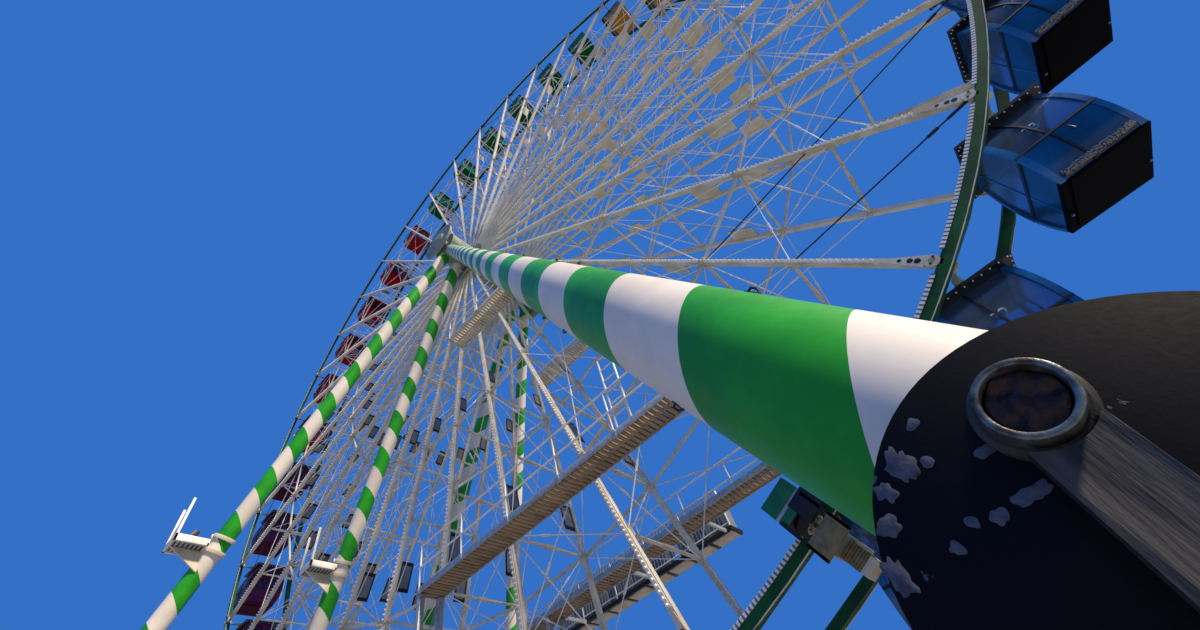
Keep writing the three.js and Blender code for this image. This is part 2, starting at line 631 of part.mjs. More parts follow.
const gondolaGeometry = geometryOf(gondola());
const groupSize = GONDOLA_COUNT / GONDOLA_GROUPS.length;
for (let index = 0; index < GONDOLA_COUNT; index += 1) {
  const group = (Math.floor(index / groupSize) + GONDOLA_GROUPS.length - 1) % GONDOLA_GROUPS.length;
  const name = `gondola_${String(index + 1).padStart(2, '0')}`;
  const mesh = addMesh(wheel, name, gondolaGeometry, paint(GONDOLA_GROUPS[group]));
  mesh.position.copy(spokePoint(index, RIM_RADIUS, 0));
}

const axleGroup = new THREE.Group();
axleGroup.position.set(0, 0, HUB_HEIGHT);
part.add(axleGroup);
addMesh(axleGroup, 'axle', axle(), paint('steel'));
addMesh(axleGroup, 'front_head', head(-1), paint('steel'));
addMesh(axleGroup, 'rear_head', head(1), paint('steel'));

for (const [face, ySign] of [['front', -1], ['rear', 1]]) {
  for (const [hand, xSign] of [['left', -1], ['right', 1]]) {
    const hasTray = ySign < 0 && xSign < 0;
    for (const [kind, line] of [['inner', innerLeg(xSign, ySign)], ['outer', outerLeg(xSign, ySign)]]) {
      const shape = leg(line, hasTray ? trayPieces(line) : []);
      addMesh(part, `${face}_${hand}_${kind}_leg`, shape, paint('green'));
    }
  }
  addMesh(part, `${face}_gangway`, gangway(ySign, ySign > 0 ? galleryPieces() : []), paint('deck'));
  addMesh(part, `${face}_rest_platform`, restPlatform(ySign), paint('deck'));
}
addMesh(part, 'left_sleeper', sleeper(-1), paint('black'));
addMesh(part, 'right_sleeper', sleeper(1), paint('black'));

const driveGroup = new THREE.Group();
driveGroup.position.set(0, 0, HUB_HEIGHT);
driveGroup.rotation.y = -DRIVE_ANGLE;
driveGroup.updateMatrix();
part.add(driveGroup);
addMesh(driveGroup, 'drive_unit', driveUnit(driveGroup.matrix), paint('green'));
addMesh(driveGroup, 'drive_tyre', driveTyre(), paint('black'));

export default part;
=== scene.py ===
"""Dresses a 1:2 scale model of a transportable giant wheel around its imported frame.

Sizes are the full-size wheel's, in metres, and real() turns them into the model's. The wheel stands in the
XZ plane with its axle along Y, its front at -Y, and Z up.
"""

import logging
import math
from collections.abc import Iterable, Sequence
from dataclasses import dataclass, field
from enum import Enum

import bmesh
import bpy
from mathutils import Matrix, Vector, noise


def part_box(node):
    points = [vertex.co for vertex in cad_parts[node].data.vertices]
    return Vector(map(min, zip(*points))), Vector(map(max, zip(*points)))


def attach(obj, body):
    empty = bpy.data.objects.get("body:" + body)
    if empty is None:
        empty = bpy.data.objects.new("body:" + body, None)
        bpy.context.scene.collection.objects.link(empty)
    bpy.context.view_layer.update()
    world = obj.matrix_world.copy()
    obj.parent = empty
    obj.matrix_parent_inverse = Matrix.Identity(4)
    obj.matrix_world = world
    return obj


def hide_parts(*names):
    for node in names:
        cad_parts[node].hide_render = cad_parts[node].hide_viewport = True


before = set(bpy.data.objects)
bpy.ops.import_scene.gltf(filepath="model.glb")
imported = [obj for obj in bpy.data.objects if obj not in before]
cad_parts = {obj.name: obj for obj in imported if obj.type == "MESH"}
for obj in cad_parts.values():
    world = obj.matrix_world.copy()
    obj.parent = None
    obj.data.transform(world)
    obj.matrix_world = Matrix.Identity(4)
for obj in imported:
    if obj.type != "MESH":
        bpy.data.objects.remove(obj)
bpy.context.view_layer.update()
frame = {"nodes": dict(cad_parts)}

LOG = logging.getLogger("giant_wheel")
MODEL_SCALE = 0.5
SMOOTH_ANGLE = math.radians(32)
SOFT_EDGE = 0.12  # half the width of the step between a finish's two tones, in the noise's own units
HARD_EDGE = 0.012
NOISE_SPREAD = 0.28  # how far the noise's values lie apart
UP = Vector((0, 0, 1))
FRONT = Vector((0, -1, 0))


def real(metres: float) -> float:
    """Turns a full-size length in metres into the model's metres."""
    return metres * MODEL_SCALE


def linear(hex_colour: str, alpha: float = 1.0) -> tuple[float, float, float, float]:
    """Turns an sRGB hex colour into linear values.

    Args:
        hex_colour: Six hex digits after a hash.
        alpha: The fourth value.

    Returns:
        Linear red, green and blue, and alpha.
    """
    digits = hex_colour.lstrip("#")
    channels = (int(digits[i:i + 2], 16) / 255 for i in (0, 2, 4))
    red, green, blue = (c / 12.92 if c <= 0.04045 else ((c + 0.055) / 1.055) ** 2.4 for c in channels)
    return red, green, blue, alpha


def add_node(tree: bpy.types.NodeTree, kind: str, inputs: dict | None = None, **settings) -> bpy.types.Node:
    """Adds a node with its settings, input values and links.

    Args:
        tree: The node tree.
        kind: The node's type name.
        inputs: Values or output sockets for its inputs, by input name or number.
        settings: The node's own properties.

    Returns:
        The new node.
    """
    node = tree.nodes.new(kind)
    for name, value in settings.items():
        setattr(node, name, value)
    for key, value in (inputs or {}).items():
        if isinstance(value, bpy.types.NodeSocket):
            tree.links.new(value, node.inputs[key])
        else:
            node.inputs[key].default_value = value
    return node


class Pattern(Enum):
    """How a finish's second tone lies on its first."""

    MOTTLED = "soft patches"
    PEELED = "hard-edged bare patches"
    SPECKLED = "small hard specks"


@dataclass(frozen=True)
class Finish:
    """A surface finish: two tones in a pattern, with its own gloss and relief.

    The sizes are the finish's own on the model, in millimetres.
    """

    name: str
    colour: str
    second: str
    slot: str
    roughness: float = 0.4
    metallic: float = 0.0
    pattern: Pattern = Pattern.MOTTLED
    patch_mm: float = 500.0
    share: float = 0.45
    grain_mm: float = 6.0
    relief: float = 0.15
    stretch: tuple[float, float, float] = (1.0, 1.0, 1.0)
    coat: float = 0.0
    transmission: float = 0.0
    ior: float = 1.5
    specular: float = 0.5

    def material(self) -> bpy.types.Material:
        """Returns this finish's material, made on its first use."""
        found = bpy.data.materials.get(self.name)
        return found if found else self._made()

    def _made(self) -> bpy.types.Material:
        """Builds the material's nodes."""
        material = bpy.data.materials.new(self.name)
        material.use_nodes = True
        tree = material.node_tree
        tree.nodes.clear()
        place = add_node(tree, "ShaderNodeTexCoord")
        mapping = add_node(tree, "ShaderNodeMapping", {
            "Vector": place.outputs["Object"], "Scale": self.stretch,
        })
        spot = mapping.outputs["Vector"]
        patches = add_node(tree, "ShaderNodeTexNoise", {
            "Vector": spot, "Scale": 1000 / self.patch_mm, "Detail": 6.0, "Roughness": 0.62,
        })
        edge = SOFT_EDGE if self.pattern is Pattern.MOTTLED else HARD_EDGE
        middle = 0.5 + (0.5 - self.share) * NOISE_SPREAD
        mask = add_node(tree, "ShaderNodeMapRange", {
            "Value": patches.outputs["Fac"], "From Min": middle - edge, "From Max": middle + edge,
        })
        tone = add_node(tree, "ShaderNodeMix", {
            0: mask.outputs["Result"], 6: linear(self.colour), 7: linear(self.second),
        }, data_type="RGBA")
        grain = add_node(tree, "ShaderNodeTexNoise", {
            "Vector": spot, "Scale": 1000 / self.grain_mm, "Detail": 3.0, "Roughness": 0.55,
        })
        gloss = add_node(tree, "ShaderNodeMapRange", {
            "Value": grain.outputs["Fac"],
            "To Min": max(0.02, self.roughness - 0.08), "To Max": min(1.0, self.roughness + 0.12),
        })
        height = grain.outputs["Fac"]
        if self.pattern is Pattern.PEELED:
            flat = add_node(tree, "ShaderNodeMath", {0: grain.outputs["Fac"], 1: 0.3}, operation="MULTIPLY")
            sunk = add_node(tree, "ShaderNodeMath", {
                0: flat.outputs[0], 1: mask.outputs["Result"],
            }, operation="SUBTRACT")
            height = sunk.outputs[0]
        bump = add_node(tree, "ShaderNodeBump", {
            "Strength": self.relief, "Distance": self.grain_mm / 4000, "Height": height,
        })
        shader = add_node(tree, "ShaderNodeBsdfPrincipled", {
            "Base Color": tone.outputs[2],
            "Roughness": gloss.outputs["Result"],
            "Metallic": self.metallic,
            "IOR": self.ior,
            "Specular IOR Level": self.specular,
            "Coat Weight": self.coat,
            "Coat Roughness": 0.12,
            "Transmission Weight": self.transmission,
            "Normal": bump.outputs["Normal"],
        })
        add_node(tree, "ShaderNodeOutputMaterial", {"Surface": shader.outputs["BSDF"]})
        return material


# Alkyd paint on rolled steel tube: half glossy, with soft road dirt.
GREEN_BAND = Finish(
    "green_band_enamel", "#2BAA1E", "#1A8717", "banded_paint", 0.42,
    coat=0.12, patch_mm=420, grain_mm=14, relief=0.05, specular=0.3,
)
WHITE_BAND = Finish(
    "white_band_enamel", "#EDE6D6", "#DAD3C4", "banded_paint", 0.45,
    coat=0.12, patch_mm=380, grain_mm=14, relief=0.05, specular=0.3,
)
# Spray-painted box-section rim: deeper green, dull with dust.
RIM_GREEN = Finish("rim_green_enamel", "#1B5A2A", "#12411D", "rim_paint", 0.5, patch_mm=300, specular=0.2)
# Cream enamel on the spokes: yellowed and streaked.
CREAM = Finish("cream_enamel", "#E0D8C2", "#C6BB9C", "spoke_paint", 0.42, coat=0.1, patch_mm=260)
WHITE = Finish("white_enamel", "#EFECE3", "#DAD6CA", "spoke_paint", 0.38, coat=0.1, patch_mm=260)
# Milky polycarbonate lamp caps: smooth, softly glossy.
LAMP = Finish("milky_lamp_cap", "#F8F6EF", "#ECE9DF", "spoke_paint", 0.22, grain_mm=10, relief=0.02)
# Bitumen-black paint on the feet: thick, semi-matt, peeled to a pale primer in hard-edged patches.
FOOT_BLACK = Finish(
    "peeled_black_paint", "#04060E", "#4F586A", "foot_paint", 0.6,
    pattern=Pattern.PEELED, patch_mm=52, share=0.0, grain_mm=5, relief=0.35, specular=0.14,
)
BLACK = Finish("black_enamel", "#101217", "#181B21", "foot_paint", 0.45, patch_mm=120, specular=0.35)
# Turned steel, polished by handling and dulled by rain.
WORN_STEEL = Finish(
    "worn_turned_steel", "#7B8582", "#4A4038", "foot_paint", 0.38, metallic=0.7,
    patch_mm=16, grain_mm=3, relief=0.5,
)
# Cut steel bar, rusted dark and scaled.
RUST = Finish(
    "dark_rust", "#35170F", "#0C090A", "foot_paint", 0.5, metallic=0.2, patch_mm=14, grain_mm=7, relief=1.0,
)
# Primer laid bare where the black paint has flaked off.
PRIMER = Finish(
    "bare_primer", "#525B6C", "#3B4251", "foot_paint", 0.7,
    patch_mm=9, grain_mm=3, relief=0.4, specular=0.2,
)
# Forged flat bar with brown and grey weathering drawn out along its length.
FORGED = Finish(
    "weathered_forging", "#4B4741", "#1F1E1D", "foot_paint", 0.6, metallic=0.2,
    patch_mm=16, grain_mm=5, relief=0.7, stretch=(1.0, 1.0, 0.13),
)
# Hot-dip galvanised steel: pale grey with a faint spangle.
GALVANISED = Finish(
    "hot_dip_galvanised", "#B9BEBF", "#979EA1", "deck_metal", 0.42, metallic=0.4, patch_mm=35, grain_mm=8,
)
# Hardwood deck slats, weathered brown, with grain along the slat.
SLAT = Finish(
    "weathered_hardwood", "#A48E72", "#7E6A52", "deck_metal", 0.72,
    patch_mm=60, grain_mm=7, relief=0.5, stretch=(1.0, 0.14, 1.0),
)
PALE_PANEL = Finish("pale_soffit_panel", "#CFC6B4", "#B3A893", "deck_metal", 0.6, patch_mm=180)
CABINET_GREY = Finish("grey_powder_coat", "#7C8388", "#666D73", "deck_metal", 0.5, patch_mm=220)
HUB_STEEL = Finish("hub_steel_paint", "#98A294", "#768274", "hub_metal", 0.55, patch_mm=160, specular=0.25)
# Drive housing: deep green powder coat, and a gearmotor in dull gold-brown casting paint.
DRIVE_GREEN = Finish("drive_green_coat", "#0C6E3D", "#095430", "drive_paint", 0.35, coat=0.2, patch_mm=200)
GEAR_BROWN = Finish("gear_casting_paint", "#8C7A55", "#6A5B3E", "drive_paint", 0.5, metallic=0.2, patch_mm=60)
# Vulcanised rubber: near black and matt.
RUBBER = Finish("tyre_rubber", "#17181A", "#222326", "tyre_rubber", 0.78, grain_mm=4, relief=0.4)
# Strip of tiny diodes behind clear plastic: pale and dark specks.
DIODES = Finish(
    "diode_strip", "#9C978A", "#2E2C29", "spoke_paint", 0.35,
    pattern=Pattern.SPECKLED, patch_mm=14, share=0.5, grain_mm=3,
)
CABLE_BLACK = Finish("cable_sheath_black", "#14161B", "#202228", "hub_metal", 0.5, patch_mm=80)
STAGE_FLOOR = Finish("studio_floor", "#9E9D99", "#999894", "deck_metal", 0.8, patch_mm=3000, relief=0.0)


@dataclass(frozen=True)
class CabinColour:
    """The paint, tinted panel, pane and floor of one colour group of gondolas; the floor tray's colour is
    darkened as painted shade.
    """

    name: str
    paint: str
    deep: str
    pane: str
    # The floor tray's colour: darker than the paint as painted shade under the floor, near black for blue.
    under: str

    @property
    def slot(self) -> str:
        """The record's slot for this group."""
        return f"cabin_{self.name}"

    def enamel(self) -> Finish:
        """The gondola's gloss paint."""
        return Finish(f"{self.name}_cabin_enamel", self.paint, self.deep, self.slot, 0.24, coat=0.4)

    def acrylic(self) -> Finish:
        """The tinted acrylic of the lower panels, which lets a little light through."""
        return Finish(
            f"{self.name}_cabin_acrylic", self.paint, self.deep, self.slot, 0.14,
            transmission=0.3, ior=1.45, relief=0.02, specular=0.3,
        )

    def glass(self) -> Finish:
        """The lightly tinted polycarbonate of the windows."""
        return Finish(
            f"{self.name}_cabin_pane", self.pane, self.pane, self.slot, 0.06,
            transmission=0.92, ior=1.3, relief=0.01,
        )

    def tray(self) -> Finish:
        """The floor tray's dull coat, in a colour darkened as painted shade under the floor."""
        return Finish(f"{self.name}_cabin_tray_painted_shade", self.under, self.under, self.slot, 0.7, specular=0.05)


# The last colour of each group is its floor tray's: darkened as painted shade, near black for blue.
YELLOW = CabinColour("yellow", "#E0A812", "#C08A0C", "#E9C860", "#B07C0C")
GREEN = CabinColour("green", "#159C34", "#0C7026", "#5FB278", "#0A5420")
RED = CabinColour("red", "#C30F18", "#8E0D14", "#D06068", "#8A0C12")
PURPLE = CabinColour("purple", "#741450", "#4A0E33", "#9C5A88", "#46102F")
ORANGE = CabinColour("orange", "#DE6A1C", "#B85213", "#E89A60", "#A44A10")
BLUE = CabinColour("blue", "#0C64A2", "#084878", "#9DBCD8", "#010208")
GROUPS = (YELLOW, GREEN, RED, PURPLE, ORANGE, BLUE)


class Maker:
    """Collects the faces of one piece, each with its finish, and turns them into one mesh object."""

    def __init__(self, name: str) -> None:
        """Starts an empty piece with this name."""
        self.name = name
        self.points: list[Vector] = []
        self.faces: list[tuple[int, ...]] = []
        self.marks: list[int] = []
        self.finishes: list[Finish] = []

    def add(self, points: Iterable[Vector], faces: Iterable[Sequence[int]], finish: Finish) -> None:
        """Adds faces over new points, in one finish."""
        if finish not in self.finishes:
            self.finishes.append(finish)
        start = len(self.points)
        mark = self.finishes.index(finish)
        self.points.extend(points)
        for face in faces:
            self.faces.append(tuple(start + index for index in face))
            self.marks.append(mark)

    def loft(self, rings: Sequence[Sequence[Vector]], finish: Finish, loop: bool = False) -> None:
        """Skins a closed body through rings of points.

        Args:
            rings: Rings with the same number of points.
            finish: The body's finish.
            loop: Whether the last ring joins the first, instead of both being capped.
        """
        size = len(rings[0])
        count = len(rings)
        faces: list[tuple[int, ...]] = []
        for row in range(count if loop else count - 1):
            low = row * size
            high = ((row + 1) % count) * size
            for index in range(size):
                after = (index + 1) % size
                faces.append((low + index, low + after, high + after, high + index))
        if not loop:
            faces.append(tuple(reversed(range(size))))
            faces.append(tuple(range((count - 1) * size, count * size)))
        self.add([point for ring in rings for point in ring], faces, finish)

    def box(self, low: Sequence[float], high: Sequence[float], finish: Finish) -> None:
        """Adds a box between two corners."""
        corners = [(low[0], low[1]), (high[0], low[1]), (high[0], high[1]), (low[0], high[1])]
        self.loft([[Vector((x, y, z)) for x, y in corners] for z in (low[2], high[2])], finish)

    def beam(self, start: Vector, end: Vector, wide: float, deep: float, finish: Finish,
             up: Vector = UP) -> None:
        """Adds a rectangular bar, with its width across the up direction and its depth along it."""
        along = (end - start).normalized()
        side = along.cross(up).normalized() * wide / 2
        rise = side.cross(along).normalized() * deep / 2
        rings = [[p - side - rise, p + side - rise, p + side + rise, p - side + rise] for p in (start, end)]
        self.loft(rings, finish)

    def rod(self, start: Vector, end: Vector, radius: float, finish: Finish, sides: int = 8,
            end_radius: float | None = None) -> None:
        """Adds a round bar or a cone between two points."""
        radii = (radius, radius if end_radius is None else end_radius)
        self.turned(start, end - start, [(0.0, radii[0]), ((end - start).length, radii[1])], finish, sides)

    def turned(self, start: Vector, axis: Vector, profile: Sequence[tuple[float, float]], finish: Finish,
               sides: int = 24) -> None:
        """Adds a turned body about an axis.

        Args:
            start: Where the axis starts.
            axis: Its direction.
            profile: Places along the axis, each with its radius.
            finish: The body's finish.
            sides: How many sides the body has.
        """
        along = axis.normalized()
        self.loft([circle(start + along * place, along, radius, sides) for place, radius in profile], finish)

    def collar(self, start: Vector, axis: Vector, length: float, inner: float, outer: float, finish: Finish,
               sides: int = 32) -> None:
        """Adds a ring with a square section, open along its axis."""
        along = axis.normalized()
        end = start + along * length
        rings = [(start, outer), (end, outer), (end, inner), (start, inner)]
        self.loft([circle(centre, along, radius, sides) for centre, radius in rings], finish, loop=True)

    def plate(self, outline: Sequence[Vector], thickness: Vector, finish: Finish) -> None:
        """Adds a flat plate from its outline and its thickness as a vector."""
        self.loft([list(outline), [point + thickness for point in outline]], finish)

    def path(self, points: Sequence[Vector], radius: float, finish: Finish, sides: int = 8) -> None:
        """Adds a round bar that follows a path."""
        rings = []
        for index, point in enumerate(points):
            before = points[max(index - 1, 0)]
            after = points[min(index + 1, len(points) - 1)]
            rings.append(circle(point, (after - before).normalized(), radius, sides))
        self.loft(rings, finish)

    def moved(self, matrix: Matrix) -> None:
        """Carries everything made so far into another place."""
        self.points = [matrix @ point for point in self.points]

    def made(self, bevel: float = 0.0) -> bpy.types.Object:
        """Turns the faces into a mesh object, with an optional small bevel on its edges."""
        mesh = bpy.data.meshes.new(self.name)
        mesh.from_pydata([tuple(point) for point in self.points], [], self.faces)
        for finish in self.finishes:
            mesh.materials.append(finish.material())
        mesh.polygons.foreach_set("material_index", self.marks)
        shape = bmesh.new()
        shape.from_mesh(mesh)
        bmesh.ops.recalc_face_normals(shape, faces=shape.faces)
        shape.to_mesh(mesh)
        shape.free()
        piece = linked(self.name, mesh)
        if bevel:
            piece.modifiers.new("edges", "BEVEL")
            piece.modifiers["edges"].width = bevel
            piece.modifiers["edges"].segments = 2
            piece.modifiers["edges"].limit_method = "ANGLE"
            settle(piece)
        shade(piece)
        return piece


def linked(name: str, data: bpy.types.ID) -> bpy.types.Object:
    """Makes an object of a mesh, text, camera or lamp and links it to the scene."""
    made = bpy.data.objects.new(name, data)
    bpy.context.scene.collection.objects.link(made)
    return made


def repaint(mesh: bpy.types.Mesh, finish: Finish) -> None:
    """Gives a mesh one finish in place of what it had."""
    mesh.materials.clear()
    mesh.materials.append(finish.material())


def circle(centre: Vector, axis: Vector, radius: float, sides: int) -> list[Vector]:
    """Returns points round a circle, square to an axis."""
    helper = UP if abs(axis.z) < 0.9 else Vector((1, 0, 0))
    right = axis.cross(helper).normalized()
    up = right.cross(axis).normalized()
    turns = (2 * math.pi * index / sides for index in range(sides))
    return [centre + right * (radius * math.cos(turn)) + up * (radius * math.sin(turn)) for turn in turns]


def shade(piece: bpy.types.Object) -> None:
    """Shades a piece smooth, and sharp where its faces meet at a clear angle."""
    piece.data.polygons.foreach_set("use_smooth", [True] * len(piece.data.polygons))
    piece.data.set_sharp_from_angle(angle=SMOOTH_ANGLE)


def settle(piece: bpy.types.Object) -> None:
    """Turns a piece's modifiers into its own plain mesh."""
    graph = bpy.context.evaluated_depsgraph_get()
    evaluated = piece.evaluated_get(graph)
    mesh = bpy.data.meshes.new_from_object(evaluated, preserve_all_data_layers=True, depsgraph=graph)
    piece.modifiers.clear()
    piece.data = mesh


def seat(piece: bpy.types.Object, body: str, slot: str, *nodes: str) -> None:
    """Sets a finished piece on its body and hides the frame's nodes that it stands for.

    Args:
        piece: The finished piece.
        body: The body that it moves with.
        slot: The record's material slot; not used.
        nodes: The frame's nodes that it replaces.
    """
    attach(piece, body)
    if nodes:
        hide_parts(*nodes)
    LOG.info("%s: %d faces on %s", piece.name, len(piece.data.polygons), body)


class Repeater:
    """Geometry node trees for what repeats: round the hub, in a row, and along a path."""

    def __init__(self) -> None:
        """Builds the three trees."""
        self.inputs: dict[str, dict[str, str]] = {}
        self.round_hub = self._round_hub()
        self.in_row = self._in_row()
        self.on_path = self._on_path()

    def _tree(self, name: str, sockets: dict[str, str]) -> tuple[bpy.types.NodeTree, bpy.types.Node]:
        """Starts a tree with a geometry input and output and other named inputs."""
        tree = bpy.data.node_groups.new(name, "GeometryNodeTree")
        tree.interface.new_socket(name="Geometry", in_out="OUTPUT", socket_type="NodeSocketGeometry")
        tree.interface.new_socket(name="Geometry", in_out="INPUT", socket_type="NodeSocketGeometry")
        self.inputs[name] = {}
        for label, kind in sockets.items():
            made = tree.interface.new_socket(name=label, in_out="INPUT", socket_type=f"NodeSocket{kind}")
            self.inputs[name][label] = made.identifier
        return tree, add_node(tree, "NodeGroupInput")

    @staticmethod
    def _close(tree: bpy.types.NodeTree, instances: bpy.types.Node, finish: bpy.types.NodeSocket) -> None:
        """Ends a tree by realizing its instances and setting their material."""
        solid = add_node(tree, "GeometryNodeRealizeInstances", {"Geometry": instances.outputs["Instances"]})
        dressed = add_node(tree, "GeometryNodeSetMaterial", {
            "Geometry": solid.outputs["Geometry"], "Material": finish,
        })
        add_node(tree, "NodeGroupOutput", {0: dressed.outputs["Geometry"]})

    def _round_hub(self) -> bpy.types.NodeTree:
        """Copies a shape round the axle, a step at a time."""
        sockets = {"Count": "Int", "Step": "Float", "Centre": "Vector", "Finish": "Material"}
        tree, given = self._tree("round_hub", sockets)
        places = add_node(tree, "GeometryNodeMeshLine", {
            "Count": given.outputs["Count"], "Start Location": given.outputs["Centre"], "Offset": (0, 0, 0),
        })
        back = add_node(tree, "ShaderNodeVectorMath", {0: given.outputs["Centre"], 1: (-1, -1, -1)},
                        operation="MULTIPLY")
        centred = add_node(tree, "GeometryNodeTransform", {
            "Geometry": given.outputs["Geometry"], "Translation": back.outputs["Vector"],
        })
        index = add_node(tree, "GeometryNodeInputIndex")
        turn = add_node(tree, "ShaderNodeMath", {0: index.outputs[0], 1: given.outputs["Step"]},
                        operation="MULTIPLY")
        euler = add_node(tree, "ShaderNodeCombineXYZ", {"Y": turn.outputs[0]})
        rotation = add_node(tree, "FunctionNodeEulerToRotation", {0: euler.outputs["Vector"]})
        copies = add_node(tree, "GeometryNodeInstanceOnPoints", {
            "Points": places.outputs["Mesh"], "Instance": centred.outputs["Geometry"],
            "Rotation": rotation.outputs["Rotation"],
        })
        self._close(tree, copies, given.outputs["Finish"])
        return tree

    def _in_row(self) -> bpy.types.NodeTree:
        """Sets bars of one size in a straight row."""
        sockets = {
            "Count": "Int", "Start": "Vector", "Step": "Vector", "Size": "Vector", "Finish": "Material",
        }
        tree, given = self._tree("in_row", sockets)
        places = add_node(tree, "GeometryNodeMeshLine", {
            "Count": given.outputs["Count"], "Start Location": given.outputs["Start"],
            "Offset": given.outputs["Step"],
        })
        bar = add_node(tree, "GeometryNodeMeshCube", {"Size": given.outputs["Size"]})
        copies = add_node(tree, "GeometryNodeInstanceOnPoints", {
            "Points": places.outputs["Mesh"], "Instance": bar.outputs["Mesh"],
        })
        self._close(tree, copies, given.outputs["Finish"])
        return tree

    def _on_path(self) -> bpy.types.NodeTree:
        """Sets small round caps along the edges of a guide mesh."""
        sockets = {"Pitch": "Float", "Radius": "Float", "Finish": "Material"}
        tree, given = self._tree("on_path", sockets)
        curve = add_node(tree, "GeometryNodeMeshToCurve", {"Mesh": given.outputs["Geometry"]})
        spaced = add_node(tree, "GeometryNodeResampleCurve", {"Curve": curve.outputs["Curve"]}, mode="LENGTH")
        tree.links.new(given.outputs["Pitch"], spaced.inputs["Length"])
        cap = add_node(tree, "GeometryNodeMeshIcoSphere", {
            "Radius": given.outputs["Radius"], "Subdivisions": 1,
        })
        copies = add_node(tree, "GeometryNodeInstanceOnPoints", {
            "Points": spaced.outputs["Curve"], "Instance": cap.outputs["Mesh"],
        })
        self._close(tree, copies, given.outputs["Finish"])
        return tree

    def run(self, piece: bpy.types.Object, tree: bpy.types.NodeTree, **values) -> bpy.types.Object:
        """Runs a tree on a piece and keeps the result as its plain mesh.

        Args:
            piece: The object that holds the shape or the guide.
            tree: One of this class's trees.
            values: The tree's inputs, by their label in lower case.

        Returns:
            The same piece, with its new mesh.
        """
        modifier = piece.modifiers.new("repeat", "NODES")
        modifier.node_group = tree
        for label, value in values.items():
            given = value.material() if isinstance(value, Finish) else value
            modifier[self.inputs[tree.name][label.capitalize()]] = given
        settle(piece)
        shade(piece)
        return piece

    def row(self, name: str, start: Vector, step: Vector, count: int, size: Sequence[float],
            finish: Finish) -> bpy.types.Object:
        """Makes a piece that is a row of bars."""
        piece = linked(name, bpy.data.meshes.new(name))
        return self.run(piece, self.in_row, start=start, step=step, count=count, size=Vector(size),
                        finish=finish)

    def caps(self, name: str, lines: Sequence[Sequence[Vector]], pitch: float,
             radius: float) -> bpy.types.Object:
        """Makes a piece of lamp caps along lines of points."""
        points: list[Vector] = []
        edges: list[tuple[int, int]] = []
        for line in lines:
            start = len(points)
            points.extend(line)
            edges.extend((start + i, start + i + 1) for i in range(len(line) - 1))
        mesh = bpy.data.meshes.new(name)
        mesh.from_pydata([tuple(point) for point in points], edges, [])
        piece = linked(name, mesh)
        return self.run(piece, self.on_path, pitch=pitch, radius=radius, finish=LAMP)


@dataclass(frozen=True)
class WheelPlan:
    """Where the wheel's spokes are, read from the frame."""

    hub: Vector
    radius: float
    side_y: float
    phase: float
    count: int = 36
    rim_half: float = real(0.08)
    rim_depth: float = real(0.2)
    spoke: float = real(0.13)

    @classmethod
    def from_frame(cls) -> "WheelPlan":
        """Reads the hub's centre, the pivots' circle and the sides' places from the frame's boxes."""
        low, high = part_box("axle")
        hub = (low + high) / 2
        cabin_low, cabin_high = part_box("gondola_01")
        hanger_top = real(0.06)
        pivot = Vector(((cabin_low.x + cabin_high.x) / 2, 0, cabin_high.z - hanger_top))
        arm = pivot - hub
        rim_low, rim_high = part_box("rear_rim")
        return cls(hub, arm.length, (rim_low.y + rim_high.y) / 2, math.atan2(arm.z, arm.x))

    @property
    def step(self) -> float:
        """The angle between spokes."""
        return 2 * math.pi / self.count

    def radial(self, index: float) -> Vector:
        """The direction of a spoke from the hub."""
        angle = self.phase + index * self.step
        return Vector((math.cos(angle), 0, math.sin(angle)))

    def tangent(self, index: float) -> Vector:
        """The direction along the rim at a spoke, towards the next one."""
        angle = self.phase + index * self.step
        return Vector((-math.sin(angle), 0, math.cos(angle)))

    def at(self, index: float, radius: float, y: float, aside: float = 0.0) -> Vector:
        """A point on a spoke at a radius, with a place along the axle and another across the spoke."""
        return self.hub + self.radial(index) * radius + self.tangent(index) * aside + Vector((0, y, 0))

    def rim_circle(self, radius: float, y: float, points: int = 144) -> list[Vector]:
        """Points round a circle about the axle."""
        return [self.at(index * self.count / points, radius, y) for index in range(points)]


@dataclass(frozen=True)
class LegLine:
    """A leg's centre line from the axle's height to its foot pin."""

    x_sign: int
    y_sign: int
    outer: bool

    top_y = {False: real(1.95), True: real(2.55)}
    pin_y = {False: real(1.95), True: real(7.98)}
    pin_x = real(10.87)
    pin_z = real(1.79)
    radius = real(0.27)
    tail = real(0.18)

    @property
    def name(self) -> str:
        """The leg's node in the frame."""
        face = "front" if self.y_sign < 0 else "rear"
        hand = "left" if self.x_sign < 0 else "right"
        return f"{face}_{hand}_{'outer' if self.outer else 'inner'}_leg"

    def top(self, plan: WheelPlan) -> Vector:
        """The end at the hub's height."""
        return Vector((0, self.y_sign * self.top_y[self.outer], plan.hub.z))

    @property
    def pin(self) -> Vector:
        """The foot pin's centre."""
        return Vector((self.x_sign * self.pin_x, self.y_sign * self.pin_y[self.outer], self.pin_z))

    def axis(self, plan: WheelPlan) -> Vector:
        """The direction down the leg."""
        return (self.pin - self.top(plan)).normalized()

    def underside(self, plan: WheelPlan) -> Vector:
        """The direction square to the leg that faces most nearly down."""
        axis = self.axis(plan)
        return (axis * axis.z - UP).normalized()

    def at(self, plan: WheelPlan, from_pin: float) -> Vector:
        """A point on the centre line at a distance above the pin."""
        return self.pin - self.axis(plan) * from_pin


LEGS = [LegLine(x, y, outer) for y in (-1, 1) for x in (-1, 1) for outer in (False, True)]


